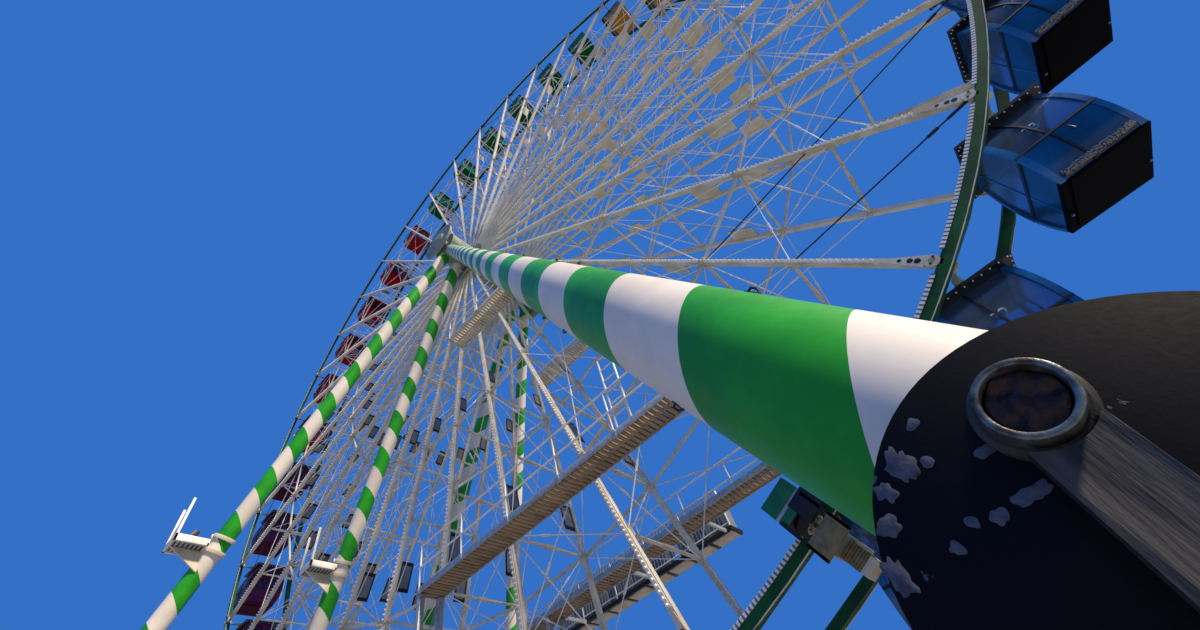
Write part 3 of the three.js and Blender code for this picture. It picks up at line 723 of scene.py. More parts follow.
@dataclass
class BandedLeg:
    """A round leg in slanting green and white bands, with its small rope hooks and clips."""

    line: LegLine
    plan: WheelPlan
    band: float = real(0.79)
    # How far above a left and a right pin the first change is.
    first_bands: tuple[float, float] = (real(1.04), real(0.35))
    top_gap: float = real(0.4)  # the last change's least distance from the leg's top
    sides: int = 72
    slant: float = real(0.23)  # how far a band's edge runs down the leg on the slant's side
    right_slant: tuple[float, float, float] = (-0.902, 0.201, -0.382)  # that side on the right rear legs
    clip_lean: tuple[float, float] = (0.85, 0.53)  # how far the clips face down, and outward
    hooks: tuple[float, ...] = (real(1.02), real(3.26), real(3.98), real(5.66))
    clips: tuple[float, ...] = (real(1.14), real(2.84), real(3.5))

    def build(self) -> None:
        """Makes the leg and what is fixed to it."""
        maker = Maker(f"{self.line.name}_tube")
        self._tube(maker)
        self._fittings(maker)
        seat(maker.made(), "stand", "banded_paint", self.line.name)

    def _slant(self) -> Vector:
        """The side on which the bands' edges run down the leg, as long as their run."""
        line = self.line
        if line.x_sign < 0:
            return Vector((0, -line.y_sign, 0)) * self.slant
        x, y, z = self.right_slant
        return Vector((x, y * line.y_sign, z)) * self.slant

    def _ring(self, place: float, slant: Vector) -> list[Vector]:
        """Points round the tube at a distance above the pin, on a slanting edge."""
        axis = self.line.axis(self.plan)
        centre = self.line.at(self.plan, place)
        points = circle(centre, axis, self.line.radius, self.sides)
        return [point + axis * slant.dot(point - centre) / self.line.radius for point in points]

    def _tube(self, maker: Maker) -> None:
        """Adds the tube, one closed length for each band."""
        length = (self.line.pin - self.line.top(self.plan)).length
        slant = self._slant()
        rings = [self._ring(-self.line.tail, Vector())]
        place = self.first_bands[self.line.x_sign > 0]
        while place < length - self.top_gap:
            rings.append(self._ring(place, slant))
            place += self.band
        rings.append(self._ring(length - real(0.1), Vector()))
        for index, pair in enumerate(zip(rings, rings[1:])):
            maker.loft(pair, WHITE_BAND if index % 2 == 0 else GREEN_BAND)

    def _fittings(self, maker: Maker) -> None:
        """Adds the hooks along the leg's upper side and the clips low on its outer side."""
        axis = self.line.axis(self.plan)
        down = self.line.underside(self.plan)
        side = axis.cross(down)
        outward = side * math.copysign(1, side.y * self.line.y_sign)
        low = (down * self.clip_lean[0] + outward * self.clip_lean[1]).normalized()
        for place in self.hooks:
            self._hook(maker, place, -down, axis)
        for place in self.clips:
            self._hook(maker, place, low, axis)

    def _hook(self, maker: Maker, place: float, out: Vector, axis: Vector) -> None:
        """Adds one hook: a foot plate, a neck, and a bar bent down to the tube at its tip."""
        base = self.line.at(self.plan, place) + out * self.line.radius
        reach = axis * real(0.032)
        lift = out * real(0.018)
        maker.beam(base - reach, base + reach * 0.3, real(0.026), real(0.008), BLACK, out)
        wire = [base - reach * 0.7, base - reach * 0.4 + lift, base + reach * 0.8 + lift, base + reach * 1.5]
        maker.path(wire, real(0.0055), BLACK, 6)


@dataclass
class Foot:
    """A leg's foot: two round-nosed cheeks, the pin with its ring, packing, and the outer feet's link bar."""

    line: LegLine
    cheek_radius: float
    cheek_thick: float = real(0.06)
    cheek_inner: float = real(0.335)
    nose_drop: float = real(0.175)
    pin_radius: float = real(0.055)
    pin_proud: float = real(0.055)
    ring_radius: float = real(0.06)
    ring_share: float = 0.8  # the ring's inner radius by its outer one
    sleeper_top: float = real(0.34)
    packing_half_x: float = real(0.3)
    packing_top: float = real(0.9)
    link_half: float = real(0.05)
    link_thick: float = real(0.042)
    link_flare: float = 1.1  # the bar's foot by its root
    link_root: float = 0.98  # where the bar leaves the eye, by the eye's radius
    eye_radius: float = real(0.072)
    eye_thick: float = real(0.02)
    lump_size: float = real(0.02)  # the core's rust scabs
    lump_high: float = real(0.012)
    arc_points: int = 40
    # The bare patches: across and up from the pin, half width and half height.
    chips: tuple[tuple[float, float, float, float], ...] = (
        (0.127, 0.071, 0.011, 0.009), (0.182, 0.03, 0.02, 0.03), (0.149, 0.014, 0.01, 0.009),
        (0.08, -0.014, 0.018, 0.008), (0.078, -0.084, 0.026, 0.01), (0.127, -0.088, 0.012, 0.012),
        (0.158, -0.08, 0.007, 0.008), (0.196, -0.098, 0.01, 0.009), (0.254, -0.034, 0.018, 0.014),
        (0.284, -0.095, 0.014, 0.03), (0.226, 0.008, 0.014, 0.018), (0.16, -0.26, 0.02, 0.014),
    )
    chip_thick: float = real(0.0015)
    chip_points: int = 32
    chip_ragged: float = 0.55  # how far a patch's outline strays, by its size
    chip_grain: float = 100.0  # how fast it strays, in waves a metre

    def add_to(self, maker: Maker) -> None:
        """Adds the foot to its sleeper's piece."""
        for side in (-1, 1):
            self._cheek(maker, side)
            self._pin_end(maker, side)
        self._packing(maker)
        if self.line.outer:
            self._chips(maker)
            self._link(maker)

    def _cheek(self, maker: Maker, side: int) -> None:
        """Adds one cheek plate with its rounded nose."""
        pin = self.line.pin
        near = pin.y + side * self.cheek_inner
        low = self.sleeper_top / 2
        nose_z = pin.z - self.nose_drop
        outline = [Vector((pin.x + self.cheek_radius, near, low))]
        for index in range(self.arc_points + 1):
            turn = math.pi * index / self.arc_points
            across = self.cheek_radius * math.cos(turn)
            outline.append(Vector((pin.x + across, near, nose_z + self.cheek_radius * math.sin(turn))))
        outline.append(Vector((pin.x - self.cheek_radius, near, low)))
        maker.plate(outline, Vector((0, side * self.cheek_thick, 0)), FOOT_BLACK)

    def _chips(self, maker: Maker) -> None:
        """Adds the bare patches on the outer cheek, beside the pin on the wheel's side."""
        pin, side = self.line.pin, self.line.y_sign
        y = pin.y + side * (self.cheek_inner + self.cheek_thick)
        for across, up, half_wide, half_high in self.chips:
            outline = []
            for index in range(self.chip_points):
                turn = 2 * math.pi * index / self.chip_points
                spot = Vector((math.cos(turn) * half_wide, 0, math.sin(turn) * half_high))
                centre = Vector((across, 0, up))
                ragged = 1 + self.chip_ragged * noise.noise((centre + spot) * self.chip_grain)
                place = (centre + spot * ragged) * MODEL_SCALE
                outline.append(Vector((pin.x - self.line.x_sign * place.x, y, pin.z + place.z)))
            maker.plate(outline, Vector((0, side * self.chip_thick, 0)), PRIMER)

    def _pin_end(self, maker: Maker, side: int) -> None:
        """Adds the pin's proud end: a worn ring with rounded lips, and a rusty core sunk a little in it."""
        face = self.line.pin + Vector((0, side * (self.cheek_inner + self.cheek_thick), 0))
        axis = Vector((0, side, 0))
        proud, outer = self.pin_proud, self.ring_radius
        inner = outer * self.ring_share
        lip = (outer - inner) * 0.35
        profile = [
            (0, outer), (proud - lip, outer), (proud - lip * 0.3, outer - lip * 0.3), (proud, outer - lip),
            (proud, inner + lip), (proud - lip * 0.3, inner + lip * 0.3), (proud - lip, inner), (0, inner),
        ]
        maker.loft([circle(face + axis * place, axis, radius, 64) for place, radius in profile],
                   WORN_STEEL, loop=True)
        core = [(-real(0.02), inner * 0.99), (proud * 0.5, inner * 0.99)]
        core += [(proud * 0.7, inner * share) for share in (0.92, 0.8, 0.66, 0.5, 0.34, 0.18)]
        rings = []
        for place, radius in core:
            ring = circle(face + axis * place, axis, radius, 48)
            rings.append([
                point + axis * noise.noise(point / self.lump_size) * self.lump_high for point in ring
            ])
        maker.loft(rings, RUST)

    def _packing(self, maker: Maker) -> None:
        """Adds the packing between the cheeks, with the pin's barrel through them."""
        pin = self.line.pin
        half_y = self.cheek_inner
        low = (pin.x - self.packing_half_x, pin.y - half_y, self.sleeper_top / 2)
        high = (pin.x + self.packing_half_x, pin.y + half_y, self.packing_top)
        maker.box(low, high, BLACK)
        reach = Vector((0, self.cheek_inner, 0))
        maker.rod(pin - reach, pin + reach, self.pin_radius, WORN_STEEL, 24)

    def _link(self, maker: Maker) -> None:
        """Adds the eye round the pin, outside the cheek, and the forged bar that runs down from it."""
        side = self.line.y_sign
        pin = self.line.pin
        near = pin.y + side * (self.cheek_inner + self.cheek_thick)
        eye = Vector((pin.x, near, pin.z))
        edge = real(0.008)
        profile = [(0, self.eye_radius), (self.eye_thick - edge, self.eye_radius),
                   (self.eye_thick, self.eye_radius - edge)]
        maker.turned(eye, Vector((0, side, 0)), profile, FORGED, 56)
        foot_half = self.link_half * self.link_flare
        root = self.eye_radius * self.link_root
        start = math.acos(self.link_half / self.eye_radius)
        outline = [Vector((pin.x - foot_half, near, self.sleeper_top / 2)),
                   Vector((pin.x + foot_half, near, self.sleeper_top / 2))]
        for index in range(self.arc_points + 1):
            turn = -start - (math.pi - 2 * start) * index / self.arc_points
            outline.append(Vector((pin.x + root * math.cos(turn), near, pin.z + root * math.sin(turn))))
        maker.plate(outline, Vector((0, side * self.link_thick, 0)), FORGED)


@dataclass
class Sleeper:
    """A ground sleeper of welded plate with the four feet of one side."""

    x_sign: int
    top: float = real(0.34)
    web: float = real(0.05)
    ribs: int = 14

    def build(self) -> None:
        """Makes the sleeper and its feet."""
        name = "left_sleeper" if self.x_sign < 0 else "right_sleeper"
        low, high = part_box(name)
        x = (low.x + high.x) / 2
        half = (high.x - low.x) / 2
        web, top = self.web, self.top
        maker = Maker(f"{name}_beam")
        maker.box((low.x, low.y, 0), (high.x, high.y, web), FOOT_BLACK)
        maker.box((low.x, low.y, top - web), (high.x, high.y, top), FOOT_BLACK)
        for side in (-1, 1):
            edge = x + side * half * 0.82
            maker.box((edge - web / 2, low.y, web), (edge + web / 2, high.y, top - web), FOOT_BLACK)
        for index in range(self.ribs + 1):
            y = low.y + web / 2 + (high.y - low.y - web) * index / self.ribs
            maker.box((x - half * 0.98, y - web / 2, web), (x + half * 0.98, y + web / 2, top - web),
                      FOOT_BLACK)
        for line in LEGS:
            if line.x_sign == self.x_sign:
                Foot(line, half).add_to(maker)
        seat(maker.made(bevel=real(0.006)), "stand", "foot_paint", name)


@dataclass
class Rims:
    """The two rims' light edge flanges, lamp strips and bearing housings at the gondolas' shafts."""

    plan: WheelPlan
    repeater: Repeater
    flange: float = real(0.015)
    strip_low: float = real(0.165)  # the lamp strip's edges, inside the pivots' circle
    strip_high: float = real(0.09)
    strip_thick: float = real(0.008)
    lamp_high: float = real(0.012)
    lamp_wide: float = real(0.045)
    lamp_pitch: float = real(0.085)
    joint_gap: float = real(0.25)

    def build(self) -> None:
        """Dresses both rims."""
        for face, sign in (("front", -1), ("rear", 1)):
            node = frame["nodes"][f"{face}_rim"]
            repaint(node.data, RIM_GREEN)
            self._flange(face, sign)
            self._bearings(face, sign)
            self._strip(face, sign)

    def _flange(self, face: str, sign: int) -> None:
        """Adds the light flange along the rim's outer edge."""
        plan = self.plan
        maker = Maker(f"{face}_rim_edges")
        outer = (plan.radius + plan.rim_depth / 2) * 0.99985
        y = sign * plan.side_y
        y0, y1 = y + sign * plan.rim_half * 0.75, y + sign * plan.rim_half * 1.05
        rings = [plan.rim_circle(radius, place) for radius, place in (
            (outer - self.flange, y0), (outer, y0), (outer, y1), (outer - self.flange, y1),
        )]
        maker.loft(rings, CREAM, loop=True)
        seat(maker.made(), "wheel", "rim_paint")

    def _bearings(self, face: str, sign: int) -> None:
        """Adds each shaft's bearing housing, with its cap and four bolts, inside the rim's line."""
        plan = self.plan
        maker = Maker(f"{face}_shaft_bearings")
        inside = Vector((0, sign * (plan.side_y - plan.rim_half), 0))
        centre = plan.at(0, plan.radius, 0) + inside
        axis = Vector((0, -sign, 0))
        maker.collar(centre, axis, real(0.035), real(0.055), real(0.13), CREAM, 20)
        for quarter in range(4):
            turn = math.pi / 4 + quarter * math.pi / 2
            spot = centre + (plan.radial(0) * math.cos(turn) + plan.tangent(0) * math.sin(turn)) * real(0.1)
            maker.rod(spot, spot + axis * real(0.05), real(0.014), CREAM, 6)
        around(maker, self.repeater, plan, CREAM, "rim_paint")

    def _strip(self, face: str, sign: int) -> None:
        """Adds the grey lamp strip on the rim's face between the spokes' joints, and its lamps."""
        plan = self.plan
        face_y = sign * (plan.side_y + plan.rim_half)
        low, high = plan.radius - self.strip_low, plan.radius - self.strip_high
        bay = plan.radius * plan.step
        strip = Maker(f"{face}_lamp_strips")
        points = 7
        first = self.joint_gap / bay
        spans = [first + (1 - 2 * first) * index / (points - 1) for index in range(points)]
        y1 = face_y + sign * self.strip_thick
        rings = [[plan.at(place, low, face_y), plan.at(place, high, face_y),
                  plan.at(place, high, y1), plan.at(place, low, y1)] for place in spans]
        strip.loft(rings, CABINET_GREY)
        around(strip, self.repeater, plan, CABINET_GREY, "spoke_paint")
        lamps = Maker(f"{face}_rim_lamps")
        count = int((bay - 2 * self.joint_gap) / self.lamp_pitch)
        middle = y1 + sign * self.lamp_high / 2
        for index in range(count):
            place = first + (index + 0.5) * self.lamp_pitch / bay
            lamps.beam(plan.at(place, low, middle), plan.at(place, high, middle),
                       self.lamp_wide, self.lamp_high, LAMP, FRONT)
        around(lamps, self.repeater, plan, LAMP, "spoke_paint")


def around(maker: Maker, repeater: Repeater, plan: WheelPlan, finish: Finish, slot: str) -> None:
    """Copies what a maker holds, made at the first spoke, round all the spokes, on the wheel.

    Args:
        maker: The shape at the first spoke.
        repeater: The node trees.
        plan: The wheel's plan.
        finish: The copies' finish.
        slot: The record's slot.
    """
    piece = maker.made()
    repeater.run(piece, repeater.round_hub, count=plan.count, step=-plan.step, centre=plan.hub, finish=finish)
    seat(piece, "wheel", slot)


@dataclass
class SpokeFittings:
    """What the spokes carry: end plates, bolted splices, lamp strips and light boards."""

    plan: WheelPlan
    repeater: Repeater
    splice_share: float = 0.757
    plate_start: float = real(0.95)  # the end plate's narrow end, inside the rim
    plate_halves: tuple[float, float] = (real(0.035), real(0.12))
    plate_thick: float = real(0.02)
    eye_radius: float = real(0.12)
    board_shares: tuple[float, float] = (0.7, 0.45)
    board_long: float = real(0.88)
    board_wide: float = real(0.44)
    board_thick: float = real(0.06)
    cap_pitch: float = real(0.13)
    cap_radius: float = real(0.036)

    def build(self) -> None:
        """Dresses both sides' spokes."""
        for face, sign in (("front", -1), ("rear", 1)):
            node = frame["nodes"][f"{face}_spokes"]
            repaint(node.data, CREAM)
            self._ends(face, sign)
            self._splices(face, sign)
            self._boards(face, sign)
        self._lamps()

    def _ends(self, face: str, sign: int) -> None:
        """Adds the tapered plate and bolted eye at each spoke's outer end, with black discs as painted shade
        in the plate's holes.
        """
        plan = self.plan
        out = Vector((0, sign, 0))
        y = sign * (plan.side_y + plan.spoke / 2)
        rim = plan.radius - plan.rim_depth / 2
        narrow, wide = self.plate_halves
        thick = out * self.plate_thick
        plate = Maker(f"{face}_spoke_ends")
        low, high = rim - self.plate_start, rim - self.eye_radius * 1.7
        outline = [plan.at(0, low, y, -narrow), plan.at(0, high, y, -wide),
                   plan.at(0, high, y, wide), plan.at(0, low, y, narrow)]
        plate.plate(outline, thick, CREAM)
        eye = plan.at(0, rim - self.eye_radius * 0.9, y)
        plate.collar(eye, out, self.plate_thick * 2, self.eye_radius * 0.45, self.eye_radius, CREAM, 24)
        plate.beam(plan.at(0, high, y, 0), plan.at(0, rim + real(0.05), y, 0),
                   real(0.1), real(0.03), CREAM, FRONT)
        around(plate, self.repeater, plan, CREAM, "spoke_paint")
        # Black discs stand for the holes: their dark is painted shade, not a surface colour.
        holes = Maker(f"{face}_spoke_end_hole_shade")
        face_y = Vector((0, sign * real(0.003), 0))
        for back, radius in ((0.45, 0.05), (0.33, 0.055), (0.62, 0.035)):
            spot = plan.at(0, rim - real(back), y) + thick
            holes.rod(spot, spot + face_y, real(radius), BLACK, 14)
        for across in (-0.07, 0.07):
            spot = plan.at(0, rim - self.eye_radius * 0.9, y, real(across)) + thick * 2
            holes.rod(spot, spot + thick, real(0.02), BLACK, 6)
        for share in (self.splice_share, 0.5):
            for shift in (-0.1, 0.1):
                spot = plan.at(0, plan.radius * share + real(shift), y)
                holes.rod(spot, spot + thick, real(0.026), BLACK, 6)
        around(holes, self.repeater, plan, BLACK, "spoke_paint")

    def _splices(self, face: str, sign: int) -> None:
        """Adds the bolted flange pair and the cleats at each spoke's splices."""
        plan = self.plan
        maker = Maker(f"{face}_spoke_splices")
        y = sign * plan.side_y
        size = plan.spoke * 1.75
        for share in (self.splice_share, 0.5):
            radius = plan.radius * share
            for shift in (-0.03, 0.012):
                start = plan.at(0, radius + real(shift), y)
                maker.beam(start, start + plan.radial(0) * real(0.022), size, size, CREAM, FRONT)
            for across in (-1, 1):
                for along_y in (-1, 1):
                    offset = Vector((0, along_y * size * 0.36, 0))
                    spot = plan.at(0, radius - real(0.055), y, across * size * 0.36) + offset
                    maker.rod(spot, spot + plan.radial(0) * real(0.12), real(0.016), CREAM, 6)
        for share in (0.62, self.splice_share, 0.87):
            start = plan.at(0, plan.radius * share - real(0.12), y - sign * plan.spoke * 0.5)
            end = plan.at(0, plan.radius * share + real(0.12), y - sign * plan.spoke * 0.5)
            maker.beam(start, end, real(0.2), real(0.02), CREAM, FRONT)
        around(maker, self.repeater, plan, CREAM, "spoke_paint")

    def _boards(self, face: str, sign: int) -> None:
        """Adds the light boards behind each spoke: a cream back, and a dark frame round its grey lit side."""
        plan = self.plan
        back = Maker(f"{face}_light_boards")
        frames = Maker(f"{face}_board_frames")
        lights = Maker(f"{face}_board_lights")
        thick = self.board_thick
        for share in self.board_shares:
            scale = 1.0 if share > 0.5 else 0.7
            half = self.board_long * scale / 2
            wide = self.board_wide * scale
            middle = plan.radius * share
            y = sign * (plan.side_y - plan.spoke / 2 - wide / 2)
            for maker, finish, aside, shrink, depth in (
                (back, CREAM, -thick / 4, 1.0, thick / 2),
                (frames, BLACK, thick / 8, 0.99, thick / 4),
                (lights, CABINET_GREY, thick * 0.3, 0.74, thick / 8),
            ):
                start = plan.at(0, middle - half * shrink, y, aside)
                end = plan.at(0, middle + half * shrink, y, aside)
                maker.beam(start, end, depth, wide * shrink, finish, FRONT)
        around(back, self.repeater, plan, CREAM, "spoke_paint")
        around(frames, self.repeater, plan, BLACK, "spoke_paint")
        around(lights, self.repeater, plan, CABINET_GREY, "spoke_paint")

    def _lamps(self) -> None:
        """Adds the lamp strip along every front spoke, a thin batten with a row of caps."""
        plan = self.plan
        y = -plan.side_y - plan.spoke / 2
        maker = Maker("front_lamp_battens")
        start = plan.at(0, plan.radius * 0.1, y - real(0.008))
        end = plan.at(0, plan.radius - real(1.15), y - real(0.008))
        maker.beam(start, end, real(0.07), real(0.02), WHITE, FRONT)
        around(maker, self.repeater, plan, WHITE, "spoke_paint")
        lines = []
        for index in range(plan.count):
            lines.append([plan.at(index, plan.radius * 0.12, y - real(0.045)),
                          plan.at(index, plan.radius - real(1.2), y - real(0.045))])
        piece = self.repeater.caps("front_spoke_lamps", lines, self.cap_pitch, self.cap_radius)
        seat(piece, "wheel", "spoke_paint")


@dataclass
class Bracing:
    """The axial ties between the wheel's sides and the thin rods that brace them."""

    plan: WheelPlan
    repeater: Repeater
    tie_shares: tuple[float, ...] = (0.3, 0.5, 0.62, 0.757, 0.87)
    crossed: tuple[tuple[float, float], ...] = ((0.5, 0.757), (0.757, 0.87))
    tie_radius: float = real(0.042)
    tie_joint: tuple[float, float] = (real(0.16), real(0.062))
    rod_radius: float = real(0.016)
    turnbuckle: tuple[float, float] = (real(0.14), real(0.032))

    def build(self) -> None:
        """Makes the ties, the cross rods and their turnbuckles."""
        plan = self.plan
        maker = Maker("bracing_ties")
        reach = plan.side_y - plan.spoke / 2
        for share in self.tie_shares:
            self._bar(maker, plan.at(0, plan.radius * share, -reach), plan.at(0, plan.radius * share, reach),
                      self.tie_radius, self.tie_joint, 0.5)
        around(maker, self.repeater, plan, CREAM, "spoke_paint")
        rods = Maker("bracing_rods")
        for low, high in zip(self.tie_shares, self.tie_shares[1:]):
            for sign in (-1, 1):
                start = plan.at(0, plan.radius * low, sign * reach)
                end = plan.at(0, plan.radius * high, -sign * reach)
                self._bar(rods, start, end, self.rod_radius, self.turnbuckle, 0.35)
        for low, high in self.crossed:
            for sign in (-1, 1):
                for first, last in ((low, high), (high, low)):
                    start = plan.at(0, plan.radius * first, sign * plan.side_y)
                    end = plan.at(1, plan.radius * last, sign * plan.side_y)
                    self._bar(rods, start, end, self.rod_radius, self.turnbuckle, 0.35)
        around(rods, self.repeater, plan, WHITE, "spoke_paint")

    @staticmethod
    def _bar(maker: Maker, start: Vector, end: Vector, radius: float, joint: tuple[float, float],
             place: float) -> None:
        """Adds one round bar with a thicker joint part of the way along."""
        maker.rod(start, end, radius, WHITE, 6)
        middle = start.lerp(end, place)
        half = (end - start).normalized() * joint[0]
        maker.rod(middle - half, middle + half, joint[1], WHITE, 8)


@dataclass
class Hub:
    """The bolts and lugs of the hub drum, and the bolted covers of the axle's ends."""

    plan: WheelPlan
    repeater: Repeater

    def build(self) -> None:
        """Dresses the hub's nodes and adds its fasteners."""
        for name in ("hub_drum", "axle", "front_head", "rear_head"):
            node = frame["nodes"][name]
            repaint(node.data, HUB_STEEL)
        self._lugs()
        self._covers()

    def _lugs(self) -> None:
        """Adds a clevis lug with two bolts at every spoke's root, on both sides."""
        plan = self.plan
        maker = Maker("hub_lugs")
        for sign in (-1, 1):
            y = sign * (plan.side_y + plan.spoke / 2)
            start = plan.at(0, real(0.72), y + sign * real(0.01))
            end = plan.at(0, real(1.15), y + sign * real(0.01))
            maker.beam(start, end, real(0.1), real(0.02), HUB_STEEL, FRONT)
            for radius in (0.85, 1.05):
                spot = plan.at(0, real(radius), y)
                maker.rod(spot, spot + Vector((0, sign * real(0.045), 0)), real(0.02), HUB_STEEL, 6)
        around(maker, self.repeater, plan, HUB_STEEL, "hub_metal")

    def _covers(self) -> None:
        """Adds a stepped cover and a ring of bolts on each end disc."""
        low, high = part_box("axle")
        maker = Maker("axle_end_covers")
        bolts = 24
        for y, sign in ((low.y, -1), (high.y, 1)):
            centre = Vector((self.plan.hub.x, y, self.plan.hub.z))
            out = Vector((0, sign, 0))
            cover = [(-real(0.01), real(0.45)), (real(0.04), real(0.45)), (real(0.07), real(0.4)),
                     (real(0.08), real(0.12))]
            maker.turned(centre, out, cover, HUB_STEEL, 48)
            for index in range(bolts):
                turn = 2 * math.pi * index / bolts
                spot = centre + Vector((math.cos(turn), 0, math.sin(turn))) * real(0.9)
                maker.rod(spot - out * real(0.005), spot + out * real(0.03), real(0.028), WORN_STEEL, 6)
        seat(maker.made(), "stand", "hub_metal")


@dataclass
class Gondola:
    """A cabin with curved glazed faces, flat glazed ends, a slab roof with lamps, and its hanger."""

    floor: float = real(-2.2)
    rail: float = real(-1.35)
    eaves: float = real(-0.15)
    roof_top: float = real(-0.08)
    floor_half_y: float = real(0.66)
    eaves_half_y: float = real(0.6)
    bulge: float = real(1.26)  # the middle control point of the faces' curve
    belly: float = real(-1.2)
    half_x: float = real(0.7)
    roof_half_x: float = real(0.84)
    roof_half_y: float = real(0.8)
    shaft_radius: float = real(0.045)
    strip_half_x: float = real(0.56)
    steps: int = 14

    def _curve(self, t: float) -> tuple[float, float]:
        """The half width and height of the faces' curve, from the floor at 0 to the eaves at 1."""
        y = (1 - t) ** 2 * self.floor_half_y + 2 * t * (1 - t) * self.bulge + t * t * self.eaves_half_y
        z = (1 - t) ** 2 * self.floor + 2 * t * (1 - t) * self.belly + t * t * self.eaves
        return y, z

    def _rail_t(self) -> float:
        """Where the waist rail is on the curve."""
        low, high = 0.0, 1.0
        for _ in range(24):
            middle = (low + high) / 2
            if self._curve(middle)[1] < self.rail:
                low = middle
            else:
                high = middle
        return low

    def _span(self, t0: float, t1: float) -> list[tuple[float, float]]:
        """Points on the curve between two places."""
        return [self._curve(t0 + (t1 - t0) * index / self.steps) for index in range(self.steps + 1)]

    def build(self, plan: WheelPlan) -> None:
        """Makes a shell for each colour group and sets a copy on every cabin's body."""
        size = plan.count // len(GROUPS)
        for group, colour in enumerate(GROUPS):
            maker = Maker(f"{colour.name}_gondola")
            self._shell(maker, colour)
            master = maker.made()
            for index in range(group * size, (group + 1) * size):
                number = index + 1
                mesh = master.data.copy()
                mesh.transform(Matrix.Translation(plan.at(index, plan.radius, 0)))
                piece = linked(f"cabin_{number:02d}_shell", mesh)
                seat(piece, f"cabin_{number:02d}", colour.slot, f"gondola_{number:02d}")
                self._number(plan, index)
            bpy.data.objects.remove(master)

    def _shell(self, maker: Maker, colour: CabinColour) -> None:
        """Adds one gondola about its pivot."""
        enamel = colour.enamel()
        edge = real(0.1)
        for side in (-1, 1):
            self._hoop(maker, side * (self.half_x - edge / 2), edge, real(0.08), enamel)
            self._rib(maker, side, real(-0.1), real(0.035), real(0.04), BLACK)
        self._faces(maker, colour)
        self._ends(maker, colour)
        self._floor(maker, colour)
        self._roof(maker)
        self._hanger(maker)
        self._seats(maker)

    @staticmethod
    def _corners(left: float, right: float, outer: Sequence[float], inner: Sequence[float]) -> list[Vector]:
        """The corners of a bar's or sheet's section, from its outer and its inner face's Y and Z."""
        corners = (left, outer), (right, outer), (right, inner), (left, inner)
        return [Vector((x, *face)) for x, face in corners]

    def _hoop(self, maker: Maker, x: float, wide: float, deep: float, finish: Finish) -> None:
        """Adds a closed hoop of square section round the cabin's outline."""
        right = self._span(0.03, 1)
        outline = [(y, z) for y, z in right] + [(-y, z) for y, z in reversed(right)]
        rings = []
        for y, z in outline:
            inner_y = y - math.copysign(deep, y)
            inner_z = min(max(z, self.floor + deep), self.eaves - deep)
            rings.append(self._corners(x - wide / 2, x + wide / 2, (y, z), (inner_y, inner_z)))
        maker.loft(rings, finish, loop=True)

    def _rib(self, maker: Maker, side: int, x: float, wide: float, deep: float, finish: Finish) -> None:
        """Adds a thin upright rib on one curved face."""
        rings = []
        for y, z in self._span(0.02, 0.99):
            outer, inner = side * (y + real(0.008)), side * (y - deep)
            rings.append(self._corners(x - wide / 2, x + wide / 2, (outer, z), (inner, z)))
        maker.loft(rings, finish)

    def _sheet(self, maker: Maker, side: int, t0: float, t1: float, inset: float, finish: Finish) -> None:
        """Adds a curved sheet on one face between two heights."""
        half = self.half_x - real(0.08)
        thick = real(0.012)
        rings = []
        for y, z in self._span(t0, t1):
            outer, inner = side * (y - inset), side * (y - inset - thick)
            rings.append(self._corners(-half, half, (outer, z), (inner, z)))
        maker.loft(rings, finish)

    def _faces(self, maker: Maker, colour: CabinColour) -> None:
        """Adds both curved faces: tinted panels below the rail and panes above it."""
        rail_t = self._rail_t()
        for side in (-1, 1):
            self._sheet(maker, side, 0.03, rail_t, real(0.015), colour.acrylic())
            self._sheet(maker, side, rail_t, 0.97, real(0.02), colour.glass())
            y, z = self._curve(rail_t)
            outer, inner = side * (y + real(0.01)), side * (y - real(0.05))
            low = (-self.half_x, min(outer, inner), z - real(0.02))
            high = (self.half_x, max(outer, inner), z + real(0.02))
            maker.box(low, high, BLACK)
            floor_y, floor_z = self._curve(0.06)
            strip = [side * (floor_y + real(0.085)), side * (floor_y - real(0.01))]
            if side < 0:
                maker.box((-self.strip_half_x, min(strip), floor_z - real(0.02)),
                          (self.strip_half_x, max(strip), floor_z + real(0.07)), DIODES)
            handle_y = side * (self._curve(rail_t - 0.12)[0] + real(0.02))
            maker.rod(Vector((real(0.14), handle_y, z - real(0.22))),
                      Vector((real(0.14), handle_y, z - real(0.08))), real(0.014), WORN_STEEL, 8)

    def _ends(self, maker: Maker, colour: CabinColour) -> None:
        """Adds both flat ends: a tinted lower panel, a pane, a rail and a post."""
        rail_t = self._rail_t()
        thick = real(0.012)
        for side in (-1, 1):
            x = side * (self.half_x - real(0.05))
            for t0, t1, finish in ((0.02, rail_t, colour.acrylic()), (rail_t, 0.98, colour.glass())):
                span = self._span(t0, t1)
                outline = [Vector((x, y - real(0.05), z)) for y, z in span]
                outline += [Vector((x, -(y - real(0.05)), z)) for y, z in reversed(span)]
                maker.plate(outline, Vector((side * thick, 0, 0)), finish)
            y, z = self._curve(rail_t)
            maker.box((x - real(0.03), -y + real(0.03), z - real(0.03)),
                      (x + real(0.03), y - real(0.03), z + real(0.03)), BLACK)
            maker.beam(Vector((x, real(0.18), self.floor)), Vector((x, real(0.18), self.eaves)),
                       real(0.04), real(0.04), colour.enamel(), Vector((1, 0, 0)))

